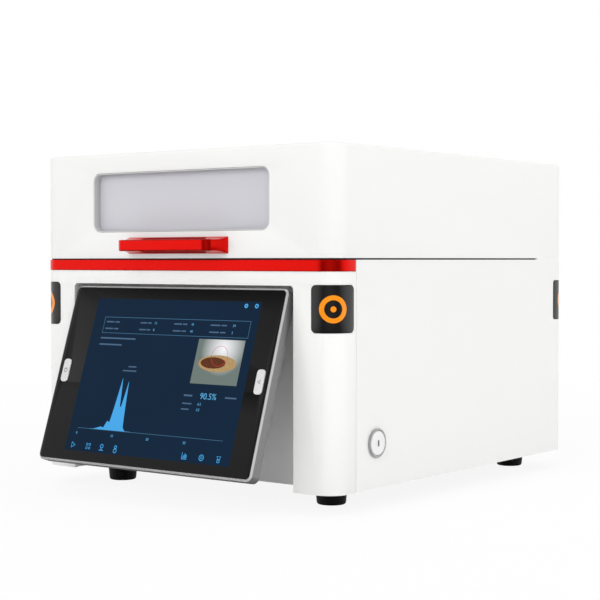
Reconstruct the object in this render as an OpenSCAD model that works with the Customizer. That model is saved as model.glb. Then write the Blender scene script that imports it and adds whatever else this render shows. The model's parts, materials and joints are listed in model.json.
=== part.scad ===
// Bench-top X-ray gold tester: a white cabinet with a hinged lid, a tilting touch
// display in its front, a side push button and the measuring parts inside.
// Millimetres. +Z is up, the front faces -Y, the feet stand on z = 0, and the
// origin lies below the middle of the whole outline.

/* [Body] */
// Width of the cabinet
body_w = 360; // [340:1:420]
// Depth of the cabinet, front face to rear face
body_d = 426; // [400:1:480]
// Height of the lower cabinet
base_h = 204; // [200:1:230]
// Radius of the four upright corners
corner_r = 20; // [16:0.5:26]
// Wall of the fascia and of the lower casing
wall = 3.5; // [3:0.1:4]
// Depth at which the fascia ends and the casing begins
fascia_d = 31.6; // [29:0.1:40]
// Open line between fascia and casing
seam = 0.4; // [0.2:0.1:0.8]
// How far the fascia reaches below the casing
fascia_drop = 0.4; // [0:0.1:1]
// Play around a piece that is set into another
fit = 0.2; // [0.1:0.05:0.3]

/* [Feet] */
// Height of a rubber foot
foot_h = 18.5; // [14:0.5:26]
// Radius of a foot at the top
foot_r = 15; // [12:0.5:18]
// Radius of a foot at the floor
foot_low_r = 13.3; // [11:0.1:14]
// Distance of a foot's middle from the cabinet's side
foot_in_x = 49.3; // [36:0.1:60]
// Depth of the front feet behind the front face
foot_front_d = 63; // [56:1:80]
// Distance of the rear feet from the rear face
foot_rear_d = 33.5; // [25:0.5:60]

/* [Lid] */
// Height of the lid
lid_h = 100; // [94:1:120]
// Wall of the lid
lid_wall = 3; // [2.5:0.1:4]
// Open line between the lid and the lower cabinet
lid_gap = 1.5; // [1:0.1:2.5]
// Radius along the lid's top edge
edge_r = 2.5; // [1:0.1:2.9]
// Length of the closed zone at the rear, where the line is thin
rear_zone = 64; // [40:1:90]
// Thin line left in that zone
rear_gap = 0.3; // [0.2:0.05:0.6]
// Thickness of the lid's inner shield
liner_t = 2; // [1.5:0.1:3]

/* [Window] */
// Width of the viewing window
window_w = 217; // [180:1:240]
// Height of the viewing window
window_h = 57; // [46:0.5:60]
// Height of the window's lower edge above the lid's lower edge
window_up = 24.7; // [24:0.1:28]
// Corner radius of the window
window_r = 8.5; // [5:0.5:12]
// How deep the glass lies behind the lid's front
window_depth = 8; // [6:0.5:12]
// Thickness of the shielding glass
glass_t = 5; // [4:0.5:8]

/* [Handle] */
// Length of the handle where it meets the lid
handle_w = 122.6; // [110:0.2:140]
// Length of its front bar
handle_bar_w = 109.4; // [100:0.2:112]
// How far the handle stands out
handle_out = 24; // [21:0.5:32]
// Height of the handle where it meets the lid
handle_foot_h = 15.5; // [13:0.1:16]
// Height of its front bar
handle_bar_h = 10.2; // [8:0.1:12]
// Height of the handle's middle above the lid's lower edge
handle_up = 11.8; // [10:0.1:12.5]
// Width of the finger gap
grip_w = 70; // [60:1:76]
// Depth of the bar in front of the finger gap
grip_bar = 9; // [7:0.5:11]

/* [Display] */
// Width of the display
disp_w = 260.6; // [240:0.2:262]
// Height of the display along its slope
disp_h = 173; // [160:0.5:176]
// Thickness of the display
disp_t = 13; // [12:0.5:15]
// Tilt of the display from upright
disp_tilt = 18.4; // [10:0.2:24]
// Corner radius of the display
disp_r = 6; // [4.5:0.5:8]
// Width of the opening in the fascia
open_w = 270; // [268:1:284]
// Distance of the opening's top from the top of the lower cabinet
open_down = 22.8; // [16:0.2:24]
// Gap between the display's top edge and the opening
disp_gap = 2.2; // [1.5:0.1:3]
// Depth of the recess behind the front face
recess_d = 30; // [26:1:34]
// Height of the undercut along the foot of the recess
step_h = 15.5; // [12:0.5:20]
// Depth of that undercut
step_d = 5; // [3:0.5:7]
// Width of the picture area
screen_w = 200; // [180:1:204]
// Height of the picture area
screen_h = 149; // [130:1:150]
// Distance of the picture area from the display's top edge
screen_down = 13; // [12:0.5:16]
// Distance of the display's keys from its middle
key_x = 119; // [117:0.5:120]
// Distance of the keys' middle from the display's top edge
key_down = 85.5; // [70:0.5:100]
// Width of a key
key_w = 9; // [7:0.5:10]
// Length of a key
key_len = 22.5; // [16:0.5:28]
// Travel of a key
key_travel = 0.8; // [0.5:0.1:1]

/* [Trim] */
// Height of the red accent strip
strip_h = 10.1; // [8:0.1:11]
// How far the strip stands proud
strip_out = 0.6; // [0.2:0.1:1]
// Height of a corner plate
plate_h = 41.7; // [34:0.1:46]
// Distance of a plate's top from the top of the lower cabinet
plate_down = 21.9; // [18:0.1:26]
// Distance from a plate's inner edge to the cabinet's side
plate_in = 25.5; // [24:0.1:30]
// Length of a plate along the side
plate_side = 28; // [26:0.1:28.5]

/* [Push button] */
// Radius of the button's metal ring
ring_r = 13.1; // [12.8:0.1:15]
// Radius of the button's cap
cap_r = 10.9; // [9:0.1:11]
// Depth of the button behind the front face
button_d = 63.2; // [56:0.2:75]
// Height of the button above the cabinet's underside
button_up = 40.6; // [32:0.2:60]
// Travel of the button
button_travel = 2; // [1:0.1:2.5]

/* [Measuring head] */
// Depth of the sample point behind the front face
sample_d = 200; // [190:1:230]
// Width of the block below the deck
head_w = 150; // [140:1:160]
// Depth of the block
head_d = 64; // [60:1:80]
// Radius of the X-ray tube
tube_r = 25; // [20:0.5:26]
// Length of the X-ray tube
tube_len = 88; // [70:1:92]
// Radius of the detector
detector_r = 16; // [12:0.5:18]
// Bore of the collimator
beam_r = 1.5; // [1:0.1:3]

/* [Rear] */
// Side of the fan
fan_size = 80; // [70:1:84]
// Thickness of the fan
fan_t = 25; // [22:0.5:28]
// Distance of the fan's middle from the cabinet's side
fan_side = 85; // [70:1:95]
// Height of the fan above the cabinet's underside
fan_up = 101.5; // [96:0.5:110]
// Distance of the mains inlet's middle from the cabinet's side
inlet_side = 70; // [60:1:90]
// Height of the mains inlet above the cabinet's underside
inlet_up = 56.5; // [50:0.5:64]
// Height of the data sockets above the cabinet's underside
ports_up = 121.5; // [112:0.5:130]
// Width of a lid hinge
hinge_w = 50; // [40:1:70]
// Distance of a lid hinge's middle from the cabinet's side
hinge_side = 68; // [50:1:90]
// Radius of a hinge knuckle
knuckle_r = 5; // [4:0.1:6]
// Radius of a hinge pin
pin_r = 2; // [1.5:0.1:2.5]

/* [Hidden] */
$fn = 64;

// Small values that several pieces share
eps = 0.01;
far = 10;               // reach of a cutter past the faces that it cuts
run = 0.05;             // running clearance of a pin or shaft, on the radius
air = 0.3;              // gap between pieces that move past each other
sheet = 2;              // gauge of the deck and the bottom plate
screw_r = 2;            // shank of the casing screws
screw_head_r = 3.6;
screw_head_h = 2;

// Places across, worked out from the sides
foot_x = body_w / 2 - foot_in_x;
fan_x = body_w / 2 - fan_side;
inlet_x = body_w / 2 - inlet_side;
hinge_x = body_w / 2 - hinge_side;

// Heights
open_top = base_h - open_down;
z_base = foot_h;
z_part = z_base + base_h;
z_lid = z_part + lid_gap;
z_top = z_lid + lid_h;
deck_drop = 6.5;
z_deck = z_part - deck_drop;
z_floor = z_base + sheet;

// Depths: y_of(d) is the place that lies d behind the front face
disp_reach = disp_h * sin(disp_tilt);
hinge_reach = air + 0.2 + 2 * knuckle_r;
y_front = -(body_d + hinge_reach - disp_reach) / 2;
y_mid = y_front + body_d / 2;
function y_of(d) = y_front + d;

// ---------- shared shapes ----------

// Rounded rectangle about the origin, with true arcs
module round_rect(w, h, r) {
  square([w - 2 * r, h], center = true);
  square([w, h - 2 * r], center = true);
  for (x = [-1, 1], y = [-1, 1])
    translate([x * (w / 2 - r), y * (h / 2 - r)]) circle(r);
}

// The cabinet's plan, drawn in by an inset
module plan(inset = 0) {
  translate([0, y_mid])
    round_rect(body_w - 2 * inset, body_d - 2 * inset, corner_r - inset);
}

// A band that follows the cabinet's plan between two insets and two depths
module band(outer, inner, d0, d1) {
  intersection() {
    difference() {
      plan(outer);
      plan(inner);
    }
    translate([-body_w, y_of(d0)]) square([2 * body_w, d1 - d0]);
  }
}

// Extrudes a drawing in x and z from depth d0 to depth d1
module front_prism(d0, d1) {
  translate([0, y_of(d1), 0]) rotate([90, 0, 0]) linear_extrude(d1 - d0) children();
}

// Extrudes a drawing in y and z from x0 to x1
module side_prism(x0, x1) {
  translate([x0, 0, 0]) rotate([90, 0, 90]) linear_extrude(x1 - x0) children();
}

// A rod along y from depth d0 to depth d1
module rod_y(x, z, r, d0, d1) {
  translate([x, y_of(d0), z]) rotate([-90, 0, 0]) cylinder(h = d1 - d0, r = r);
}

// A rod along x
module rod_x(y, z, r, x0, x1) {
  translate([x0, y, z]) rotate([0, 90, 0]) cylinder(h = x1 - x0, r = r);
}

// Sweeps a wall section round the cabinet's plan: x is the distance from the
// centre of a corner, y the height
module sweep_plan() {
  long = body_d - 2 * corner_r;
  wide = body_w - 2 * corner_r;
  translate([0, y_mid, 0])
    for (k = [0:3]) {
      side = k % 2 == 0 ? [wide, long] : [long, wide];
      rotate([0, 0, 90 * k]) {
        translate([side[0] / 2, side[1] / 2, 0]) rotate_extrude(angle = 90) children();
        translate([side[0] / 2, side[1] / 2, 0])
          rotate([90, 0, 0]) linear_extrude(side[1]) children();
      }
    }
}

// Places children on the left and right, and on the front and rear
module both_sides() {
  children();
  mirror([1, 0, 0]) children();
}
module both_ends() {
  children();
  translate([0, 2 * y_mid, 0]) mirror([0, 1, 0]) children();
}

// A pan-head screw along +Y, its head's outer face at the origin
module screw(len, r = screw_r) {
  rotate([-90, 0, 0]) {
    cylinder(h = screw_head_h, r = screw_head_r);
    cylinder(h = len, r = r);
  }
}

// ---------- lower cabinet ----------

// A plate's place at the front right corner, grown by g for its pocket
module plate_place(g = 0) {
  z = z_part - plate_down - plate_h / 2;
  soft = 3.5;
  reach = 2 * corner_r;
  intersection() {
    front_prism(-far, reach)
      translate([body_w / 2 - plate_in + reach, z])
        round_rect(2 * reach + 2 * g, plate_h + 2 * g, soft);
    side_prism(0, body_w)
      translate([y_of(plate_side - reach), z])
        round_rect(2 * reach + 2 * g, plate_h + 2 * g, soft);
  }
}
plate_t = 1.2;
plate_out = 0.2;

module plate_pockets() {
  both_ends() both_sides()
    intersection() {
      plate_place(fit);
      translate([0, 0, z_base]) linear_extrude(base_h)
        band(-far, plate_t - plate_out, -far, body_d / 2);
    }
}

module corner_plates() {
  color("#3a3a3c")
    both_ends() both_sides()
      intersection() {
        plate_place();
        translate([0, 0, z_base]) linear_extrude(base_h)
          band(-plate_out, plate_t - plate_out, -far, body_d / 2);
      }
}

strip_t = 2.2;
strip_end = fascia_d - 0.8;

module accent_strip() {
  color("#e01010")
    translate([0, 0, z_part - strip_h]) linear_extrude(strip_h)
      band(-strip_out, strip_t - strip_out, -far, strip_end);
}

opening_r = 4;
module opening_outline(grow = 0) {
  tall = open_top + fascia_drop + far;
  translate([0, z_base + open_top + grow - tall / 2])
    round_rect(open_w + 2 * grow, tall, opening_r + grow);
}

module front_fascia() {
  color("#f4f4f4")
    difference() {
      translate([0, 0, z_base - fascia_drop]) linear_extrude(base_h + fascia_drop)
        band(0, wall, 0, fascia_d);
      front_prism(-far, wall + eps) opening_outline();
      plate_pockets();
      // the strip's pocket
      translate([0, 0, z_part - strip_h - fit]) linear_extrude(strip_h + far)
        band(-far, strip_t - strip_out, -far, strip_end + fit);
    }
}

// The tilt pivot, in the display's own depth and drop
pivot_depth = 10;
pivot_drop = 6;
z_disp = z_base + open_top - disp_gap;
pivot_d = pivot_depth * cos(disp_tilt) - pivot_drop * sin(disp_tilt);
pivot_z = z_disp - pivot_depth * sin(disp_tilt) - pivot_drop * cos(disp_tilt);
tilt_pin_r = 1.75;
tub_t = 2;
tub_x = open_w / 2 + tub_t;
boss_t = 2;
boss_r = pivot_d - wall - air;

// The grey tub behind the display: cheeks, roof, back wall and the undercut
module display_recess() {
  top = z_base + open_top;
  color("#8d8f92")
    difference() {
      union() {
        side_prism(-tub_x, tub_x) polygon([
          [y_of(wall), z_base], [y_of(wall), top + tub_t],
          [y_of(recess_d + tub_t), top + tub_t],
          [y_of(recess_d + tub_t), z_base + step_h + tub_t],
          [y_of(recess_d + step_d + tub_t), z_base + step_h + tub_t],
          [y_of(recess_d + step_d + tub_t), z_base]]);
        for (s = [-1, 1])
          rod_x(y_of(pivot_d), pivot_z, boss_r,
                s > 0 ? tub_x - eps : -tub_x - boss_t, s > 0 ? tub_x + boss_t : eps - tub_x);
      }
      intersection() {
        side_prism(-tub_x, tub_x) polygon([
          [y_of(-far), z_base - far], [y_of(-far), top],
          [y_of(recess_d), top], [y_of(recess_d), z_base + step_h],
          [y_of(recess_d + step_d), z_base + step_h],
          [y_of(recess_d + step_d), z_base - far]]);
        front_prism(-far, 2 * recess_d) opening_outline();
      }
      rod_x(y_of(pivot_d), pivot_z, tilt_pin_r + run, -body_w, body_w);
    }
}

tongue_t = 1.8;
tongue_len = 8;
tongue_h = base_h - 4 * sheet - deck_drop;
tongue_x = body_w / 2 - wall - air - tongue_t;
tongue_y = y_of(fascia_d + seam);
ledge_h = 3;

// The rear panel's outline and the ledge behind it, in x and z
panel_in = 30;
panel_down = 34;
panel_lap = 8;
panel_up = panel_lap + 2 * sheet;  // its ledge ends above the bottom plate
panel_screw_in = 4;
panel_w = body_w - 2 * panel_in;
panel_h = base_h - panel_up - panel_down;
panel_z = z_base + panel_up + panel_h / 2;
module panel_outline(grow = 0) {
  translate([0, panel_z]) square([panel_w + 2 * grow, panel_h + 2 * grow], center = true);
}

module at_panel_screws() {
  for (x = [-1, 1], z = [-1, 1])
    translate([x * (panel_w / 2 - panel_screw_in), 0, panel_z + z * (panel_h / 2 - panel_screw_in)])
      children();
}

// The casing: both sides and the rear's border, in one bent piece
module base_shell() {
  color("#f2f2f2")
    difference() {
      union() {
        translate([0, 0, z_base]) linear_extrude(base_h)
          band(0, wall, fascia_d + seam, body_d);
        both_sides() {
          // tongue that laps behind the fascia
          translate([tongue_x, tongue_y - tongue_len, z_base + 2 * sheet])
            cube([tongue_t, 2 * tongue_len, tongue_h]);
          translate([tongue_x, tongue_y, z_base + 2 * sheet])
            cube([tongue_t + air + eps, tongue_len, tongue_h]);
          // ledge that carries the deck
          translate([body_w / 2 - wall - ledge_h, tongue_y + tongue_len, z_deck - sheet - ledge_h])
            cube([ledge_h + eps, y_of(body_d - 2 * corner_r) - tongue_y - tongue_len, ledge_h]);
        }
        // ledge behind the rear panel
        front_prism(body_d - wall - sheet, body_d - wall + eps) panel_outline(panel_lap);
      }
      front_prism(body_d - wall, body_d + far) panel_outline(fit);
      front_prism(body_d - 2 * wall, body_d + far) panel_outline(-panel_lap);
      at_panel_screws() rod_y(0, 0, screw_r + run, body_d - 2 * wall, body_d);
      plate_pockets();
      rod_x(y_of(button_d), z_base + button_up, sleeve_r + fit, 0, body_w);
      for (x = leaf_screw_x)
        rod_y(x, z_part - leaf_screw_z, screw_r + fit, body_d - 2 * wall, body_d + far);
    }
}

// The flat panel in the rear, with the fan's grille, the inlet and the sockets
module rear_panel() {
  color("#efefef")
    difference() {
      front_prism(body_d - wall, body_d) panel_outline();
      grille();
      inlet_cut();
      front_prism(body_d - 2 * wall, body_d + far) port_field(-port_lap);
      for (x = [-1, 1], z = [-1, 1])
        rod_y(fan_x + x * fan_hole, z_fan + z * fan_hole, screw_r + fit,
              body_d - 2 * wall, body_d + far);
      at_panel_screws() rod_y(0, 0, screw_r + fit, body_d - 2 * wall, body_d + far);
    }
}

module panel_screws() {
  color("#9a9da1")
    at_panel_screws()
      translate([0, y_of(body_d + screw_head_h), 0])
        mirror([0, 1, 0]) screw(screw_head_h + wall + sheet + 2);
}

module bottom_plate() {
  color("#c9cbce")
    translate([0, 0, z_base])
      linear_extrude(sheet)
        difference() {
          plan(wall + air);
          // clear of the display tub
          translate([-tub_x - air, y_of(-far)])
            square([2 * (tub_x + air), far + recess_d + step_d + tub_t + air]);
          for (p = feet) translate(p) circle(screw_r + fit);
          // cooling slots
          for (x = [-4:4])
            translate([x * 14, y_of(sample_d)]) round_rect(3, 60, 1.49);
        }
}

feet = [for (x = [-1, 1], d = [foot_front_d, body_d - foot_rear_d]) [x * foot_x, y_of(d)]];
foot_sink_r = 5;
foot_sink_h = 8;

module rubber_feet() {
  soft = 2;
  color("#1c1c1c")
    for (p = feet)
      translate(p)
        difference() {
          rotate_extrude()
            union() {
              polygon([
                [0, 0], [foot_low_r - soft, 0], [foot_low_r, soft],
                [foot_r, foot_h - 2], [foot_r, foot_h], [0, foot_h]]);
              translate([foot_low_r - soft, soft]) circle(soft);
            }
          translate([0, 0, -eps]) cylinder(h = foot_sink_h, r = foot_sink_r);
          cylinder(h = foot_h + far, r = screw_r + fit);
        }
}

module foot_screws() {
  color("#9a9da1")
    for (p = feet)
      translate([p[0], p[1], foot_sink_h - screw_head_h]) {
        cylinder(h = screw_head_h, r = screw_head_r);
        cylinder(h = z_floor - foot_sink_h + screw_head_h + 4, r = screw_r);
      }
}

// ---------- deck and sample stage ----------

stage_r = 40;
stage_t = 3;
aperture_r = 6;
insert_r = 14;

module deck_plate() {
  color("#d4d6d8")
    difference() {
      translate([0, 0, z_deck - sheet]) linear_extrude(sheet) plan(wall + air);
      translate([0, y_of(sample_d), z_deck - far]) cylinder(h = 2 * far, r = insert_r + fit);
    }
}

// A low rim that stands on the deck's edge and keeps small pieces in
module deck_rim() {
  rim_t = 1.5;
  color("#d4d6d8")
    translate([0, 0, z_deck]) linear_extrude(deck_drop - air)
      band(wall + air, wall + air + rim_t, 0, body_d);
}

module stage_plate() {
  color("#2c2d30")
    translate([0, y_of(sample_d), z_deck])
      difference() {
        cylinder(h = stage_t, r = stage_r);
        translate([0, 0, -eps]) cylinder(h = stage_t + 1, r = insert_r + run);
      }
}

// The ring that the sample lies on, over the beam's way out
module aperture_ring() {
  color("#b8bbc0")
    translate([0, y_of(sample_d), 0])
      rotate_extrude()
        polygon([
          [aperture_r, z_deck], [aperture_r, z_deck + stage_t],
          [insert_r, z_deck + stage_t], [insert_r, z_deck - sheet],
          [aperture_r + 3, z_deck - sheet]]);
}

seal_h = lid_gap - air;
module lid_seal() {
  color("#161616")
    translate([0, 0, z_part]) linear_extrude(seal_h)
      band(1.2, wall - fit, 0, body_d - rear_zone - 2);
}

// ---------- measuring parts below the deck ----------

z_head = z_deck - sheet;
head_side = 20;
head_cut = 45;
face_x = head_w / 2 - head_cut / 2;
face_z = z_head - head_side - head_cut / 2;
nose_r = 7;

// Turns children so that +Z points down and outward from a slanted face
module on_face(side) {
  translate([side * face_x, y_of(sample_d), face_z]) rotate([0, side * 135, 0]) children();
}

module measuring_head() {
  w = head_w / 2;
  color("#a9adb2")
    difference() {
      front_prism(sample_d - head_d / 2, sample_d + head_d / 2)
        polygon([
          [-w, z_head], [w, z_head], [w, z_head - head_side],
          [w - head_cut, z_head - head_side - head_cut],
          [head_cut - w, z_head - head_side - head_cut], [-w, z_head - head_side]]);
      // the beam's way in, the detector's view and the camera's view
      for (s = [-1, 1])
        on_face(s) translate([0, 0, -head_w]) cylinder(h = head_w + far, r = nose_r);
      translate([0, y_of(sample_d), z_head - head_w]) cylinder(h = 2 * head_w, r = nose_r);
    }
}

module collimator() {
  color("#8a6f3a")
    on_face(-1)
      translate([0, 0, -30])
        difference() {
          cylinder(h = 22, r = nose_r - run);
          translate([0, 0, -1]) cylinder(h = 24, r = beam_r);
        }
}

module xray_tube() {
  color("#c0c4c9")
    on_face(-1) {
      translate([0, 0, -7]) cylinder(h = 7 + eps, r = nose_r - run);
      cylinder(h = 5, r = tube_r + 4);
      cylinder(h = tube_len, r = tube_r);
      translate([0, 0, tube_len - eps]) cylinder(h = 8, r = 10);
    }
}

module detector() {
  can = 30;
  color("#d8dadd")
    on_face(1) {
      translate([0, 0, -20]) cylinder(h = 20 + eps, r = nose_r - run);
      cylinder(h = can, r = detector_r);
      translate([-22, -22, can - eps]) cube([44, 44, 34]);
      // cooling fins
      for (k = [-4:4])
        translate([-22, k * 5 - 0.8, can + 34 - 2 * eps]) cube([44, 1.6, 9]);
    }
}

module sample_camera() {
  z = z_head - head_side - head_cut;
  barrel = 14;
  color("#24302a")
    translate([0, y_of(sample_d), 0]) {
      translate([0, 0, z - 6]) cylinder(h = 6 + barrel, r = nose_r - run);
      translate([-17, -17, z - 7.6]) cube([34, 34, 1.6]);
      for (x = [-1, 1], y = [-1, 1])
        translate([x * 13, y * 13, z - 6 - eps]) cylinder(h = 6 + eps, r = 2.5);
    }
}

// The high-voltage generator: a can with its output bushing and cooling ribs
box_side = 15;          // from the cabinet's side to a box
box_back = body_d - 46; // depth at which both boxes end
hv = [120, 140, 62];
module hv_generator() {
  rib = [8, 60, 5];
  rib_pitch = 2 * rib[0];
  color("#6f7378")
    translate([body_w / 2 - box_side - hv[0], y_of(box_back - hv[1]), z_floor]) {
      cube(hv);
      translate([hv[0] / 2, hv[1] / 5, hv[2] - eps]) cylinder(h = 14, r = 9);
      for (k = [0:6])
        translate([rib[0] + k * rib_pitch, hv[1] / 2, hv[2] - eps]) cube(rib);
    }
}

// The power supply: a case with a stepped shelf for its terminals
psu = [100, 160, 40];
module power_supply() {
  shelf = [12, 14];
  terminal = 9;
  terminal_pitch = 12;
  color("#b4b7ba")
    translate([box_side - body_w / 2, y_of(box_back - psu[1]), z_floor]) {
      difference() {
        cube(psu);
        translate([-1, psu[1] - shelf[0], shelf[1]]) cube([psu[0] + 2, 2 * shelf[0], psu[2]]);
      }
      for (k = [0:6])
        translate([10 + k * terminal_pitch, psu[1] - shelf[0] + 1, shelf[1] - eps]) cube(terminal);
    }
}

board_gap = 6;
board_d = recess_d + tub_t + board_gap;
board = [220, 120, 1.6];
board_z = z_base + 110;
post_x = board[0] / 2 - 8;
post_z = board[1] / 2 - 8;

module control_board() {
  color("#1f6b3a") {
    front_prism(board_d, board_d + board[2])
      difference() {
        translate([0, board_z]) round_rect(board[0], board[1], 2);
        for (x = [-1, 1], z = [-1, 1])
          translate([x * post_x, board_z + z * post_z]) circle(1.6);
      }
    // processor under its ribbed heat sink, chips and plug rows
    board_part(7, sink_x, sink_z, [sink, sink]);
    for (k = [-4:4]) board_part(15, sink_x + k * 5, sink_z, [1.6, sink]);
    for (k = [0:3]) board_part(4, -sink_x + k * 18, board_z + 18, [12, 22]);
    for (k = [-2:2]) board_part(11, k * 36 - 8, board_z - post_z + 4, [22, 7]);
  }
}
sink = 46;
sink_x = -30;
sink_z = board_z + 10;

// A block that stands a height off the control board
module board_part(high, x, z, size) {
  front_prism(board_d + board[2] - eps, board_d + high) translate([x, z]) square(size, center = true);
}

module board_standoffs() {
  color("#c7a750")
    for (x = [-1, 1], z = [-1, 1])
      difference() {
        rod6(x * post_x, board_z + z * post_z, 3.4, recess_d + tub_t, board_d);
        rod_y(x * post_x, board_z + z * post_z, 1.25, recess_d, board_d + far);
      }
}
module rod6(x, z, r, d0, d1) {
  translate([x, y_of(d0), z]) rotate([-90, 0, 0]) cylinder(h = d1 - d0, r = r, $fn = 6);
}

// ---------- lid interlock ----------

lock_d = 70;
module interlock_sensor() {
  color("#d8a020")
    translate([body_w / 2 - 30, y_of(lock_d), z_deck - sheet - 10]) cube([20, 32, 10]);
}
module interlock_magnet() {
  x = body_w / 2 - lid_wall - air - liner_t;
  color("#d8a020")
    translate([x - 7, y_of(lock_d), z_lid + 4]) cube([7, 32, 9]);
}

// ---------- fan ----------

fan_bore = fan_size / 2 - 2;
fan_hole = fan_size / 2 - 4.25;
fan_in = body_d - wall;
z_fan = z_base + fan_up;
hub_r = 18;
shaft_r = 1.5;
plate_hub_r = 17;
strut_t = 3;

// Ring slots in the rear wall in front of the fan, with four spokes left standing
module grille() {
  slot = 3.6;
  pitch = 6.6;
  first = 8;
  rings = floor((fan_bore - first) / pitch);
  for (k = [0:rings])
    difference() {
      rod_y(fan_x, z_fan, first + k * pitch + slot / 2, fan_in - 1, body_d + far);
      rod_y(fan_x, z_fan, first + k * pitch - slot / 2, fan_in - 2, body_d + 2 * far);
      for (a = [45, 135])
        translate([fan_x, y_of(body_d), z_fan]) rotate([0, a, 0])
          cube([2 * fan_size, 4 * far, 5], center = true);
    }
}

module fan_frame() {
  back = fan_in - strut_t;
  color("#26272a")
    difference() {
      union() {
        front_prism(fan_in - fan_t, fan_in)
          translate([fan_x, z_fan])
            difference() {
              round_rect(fan_size, fan_size, 4);
              circle(fan_bore);
            }
        rod_y(fan_x, z_fan, plate_hub_r, back, fan_in);
        for (a = [0, 90])
          translate([fan_x, y_of(fan_in - strut_t / 2), z_fan]) rotate([0, a, 0])
            cube([2 * fan_bore + 2, strut_t, 4], center = true);
        rod_y(fan_x, z_fan, shaft_r + 2.5, fan_in - fan_t + 8, fan_in);
      }
      rod_y(fan_x, z_fan, shaft_r + run, fan_in - fan_t, fan_in - 1);
      for (x = [-1, 1], z = [-1, 1])
        rod_y(fan_x + x * fan_hole, z_fan + z * fan_hole, screw_r + run,
              fan_in - fan_t - 1, fan_in + 1);
    }
}

// Cup, shaft and seven pitched blades
module fan_rotor() {
  cup_in = fan_in - fan_t + 2;
  cup_out = fan_in - strut_t - 2;
  cup_t = 2;
  blades = 7;
  pitch = 38;
  blade_t = 1.6;
  tip_r = fan_bore - 1.5;
  color("#303236")
    difference() {
      union() {
        rod_y(fan_x, z_fan, hub_r, cup_in, cup_out);
        intersection() {
          difference() {
            rod_y(fan_x, z_fan, tip_r, cup_in + 1, cup_out - 1);
            rod_y(fan_x, z_fan, hub_r - 1, cup_in, cup_out);
          }
          translate([fan_x, y_of((cup_in + cup_out) / 2), z_fan])
            for (k = [0:blades - 1])
              rotate([0, k * 360 / blades, 0]) translate([(hub_r + tip_r) / 2, 0, 0])
                rotate([90 - pitch, 0, 0]) cube([tip_r - hub_r + 6, blade_t, 2 * fan_t], center = true);
        }
      }
      // the cup is open toward the motor, round its shaft
      difference() {
        rod_y(fan_x, z_fan, hub_r - cup_t, cup_in + cup_t, cup_out + 1);
        rod_y(fan_x, z_fan, shaft_r, cup_in, cup_out + 2);
      }
    }
}

module fan_screws() {
  color("#3c3d40")
    for (x = [-1, 1], z = [-1, 1])
      translate([fan_x + x * fan_hole, y_of(body_d + screw_head_h), z_fan + z * fan_hole])
        mirror([0, 1, 0]) screw(screw_head_h + wall + 12);
}

// ---------- mains inlet and data sockets ----------

z_inlet = z_base + inlet_up;
inlet = [28, 48];
flange = [33, 55];
flange_t = 2;
socket = [25, 17];
socket_z = 12;
socket_depth = 20;
rocker_w = 12;
rocker_h = 18;
rocker_z = -12;
rocker_in = 3;

module inlet_cut() {
  front_prism(body_d - 2 * wall, body_d + far)
    translate([-inlet_x, z_inlet]) square([inlet[0] + 2 * fit, inlet[1] + 2 * fit], center = true);
}

module mains_inlet() {
  inner = 28;
  color("#202124")
    difference() {
      union() {
        front_prism(body_d, body_d + flange_t)
          translate([-inlet_x, z_inlet]) round_rect(flange[0], flange[1], 3);
        front_prism(body_d - inner, body_d + eps)
          translate([-inlet_x, z_inlet]) square(inlet, center = true);
      }
      // socket, its upper corners cut as on the plug
      front_prism(body_d + flange_t - socket_depth, body_d + far)
        translate([-inlet_x, z_inlet + socket_z])
          polygon([
            [-socket[0] / 2, -socket[1] / 2], [socket[0] / 2, -socket[1] / 2],
            [socket[0] / 2, socket[1] / 2 - 5], [socket[0] / 2 - 5, socket[1] / 2],
            [5 - socket[0] / 2, socket[1] / 2], [-socket[0] / 2, socket[1] / 2 - 5]]);
      // switch well, round so that the rocker turns in it
      intersection() {
        front_prism(body_d - inner + 2, body_d + far)
          translate([-inlet_x, z_inlet + rocker_z])
            square([rocker_w + 2 * air, rocker_h + 4], center = true);
        union() {
          rod_x(y_of(body_d - rocker_in), z_inlet + rocker_z, rocker_h / 2 + 1.2,
                -body_w, 0);
          front_prism(body_d - rocker_in, body_d + far)
            translate([-inlet_x, z_inlet + rocker_z])
              square([2 * rocker_w, rocker_h + 2], center = true);
        }
      }
      rod_x(y_of(body_d - rocker_in), z_inlet + rocker_z, 1.5 + run,
            -inlet_x - rocker_w / 2 - 4, rocker_w / 2 + 4 - inlet_x);
    }
}

module inlet_pins() {
  back = body_d + flange_t - socket_depth;
  color("#d9c98a")
    for (p = [[-7, -2], [7, -2], [0, 3]])
      front_prism(back, back + socket_depth - 6)
        translate([p[0] - inlet_x, z_inlet + socket_z + p[1]]) round_rect(2, 4, 0.4);
}

// The rocker: a shallow V face on a round body that turns on two stub axles
module mains_rocker() {
  lean = 8;
  out = 4.2;
  color("#101113")
    translate([0, y_of(body_d - rocker_in), z_inlet + rocker_z]) rotate([lean, 0, 0]) {
      translate([-inlet_x - rocker_w / 2, 0, 0]) rotate([90, 0, 90]) linear_extrude(rocker_w)
        difference() {
          union() {
            polygon([
              [0, -rocker_h / 2 + 0.4], [out + 1.2, -rocker_h / 2 + 1.2], [out, 0],
              [out + 1.2, rocker_h / 2 - 1.2], [0, rocker_h / 2 - 0.4]]);
            circle(rocker_h / 2 - 0.4);
          }
          translate([-2 * rocker_h, -rocker_h]) square([2 * rocker_h - 5, 2 * rocker_h]);
        }
      rod_x_local(1.5, -inlet_x - rocker_w / 2 - 3, rocker_w / 2 + 3 - inlet_x);
    }
}
module rod_x_local(r, x0, x1) {
  translate([x0, 0, 0]) rotate([0, 90, 0]) cylinder(h = x1 - x0, r = r);
}

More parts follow.
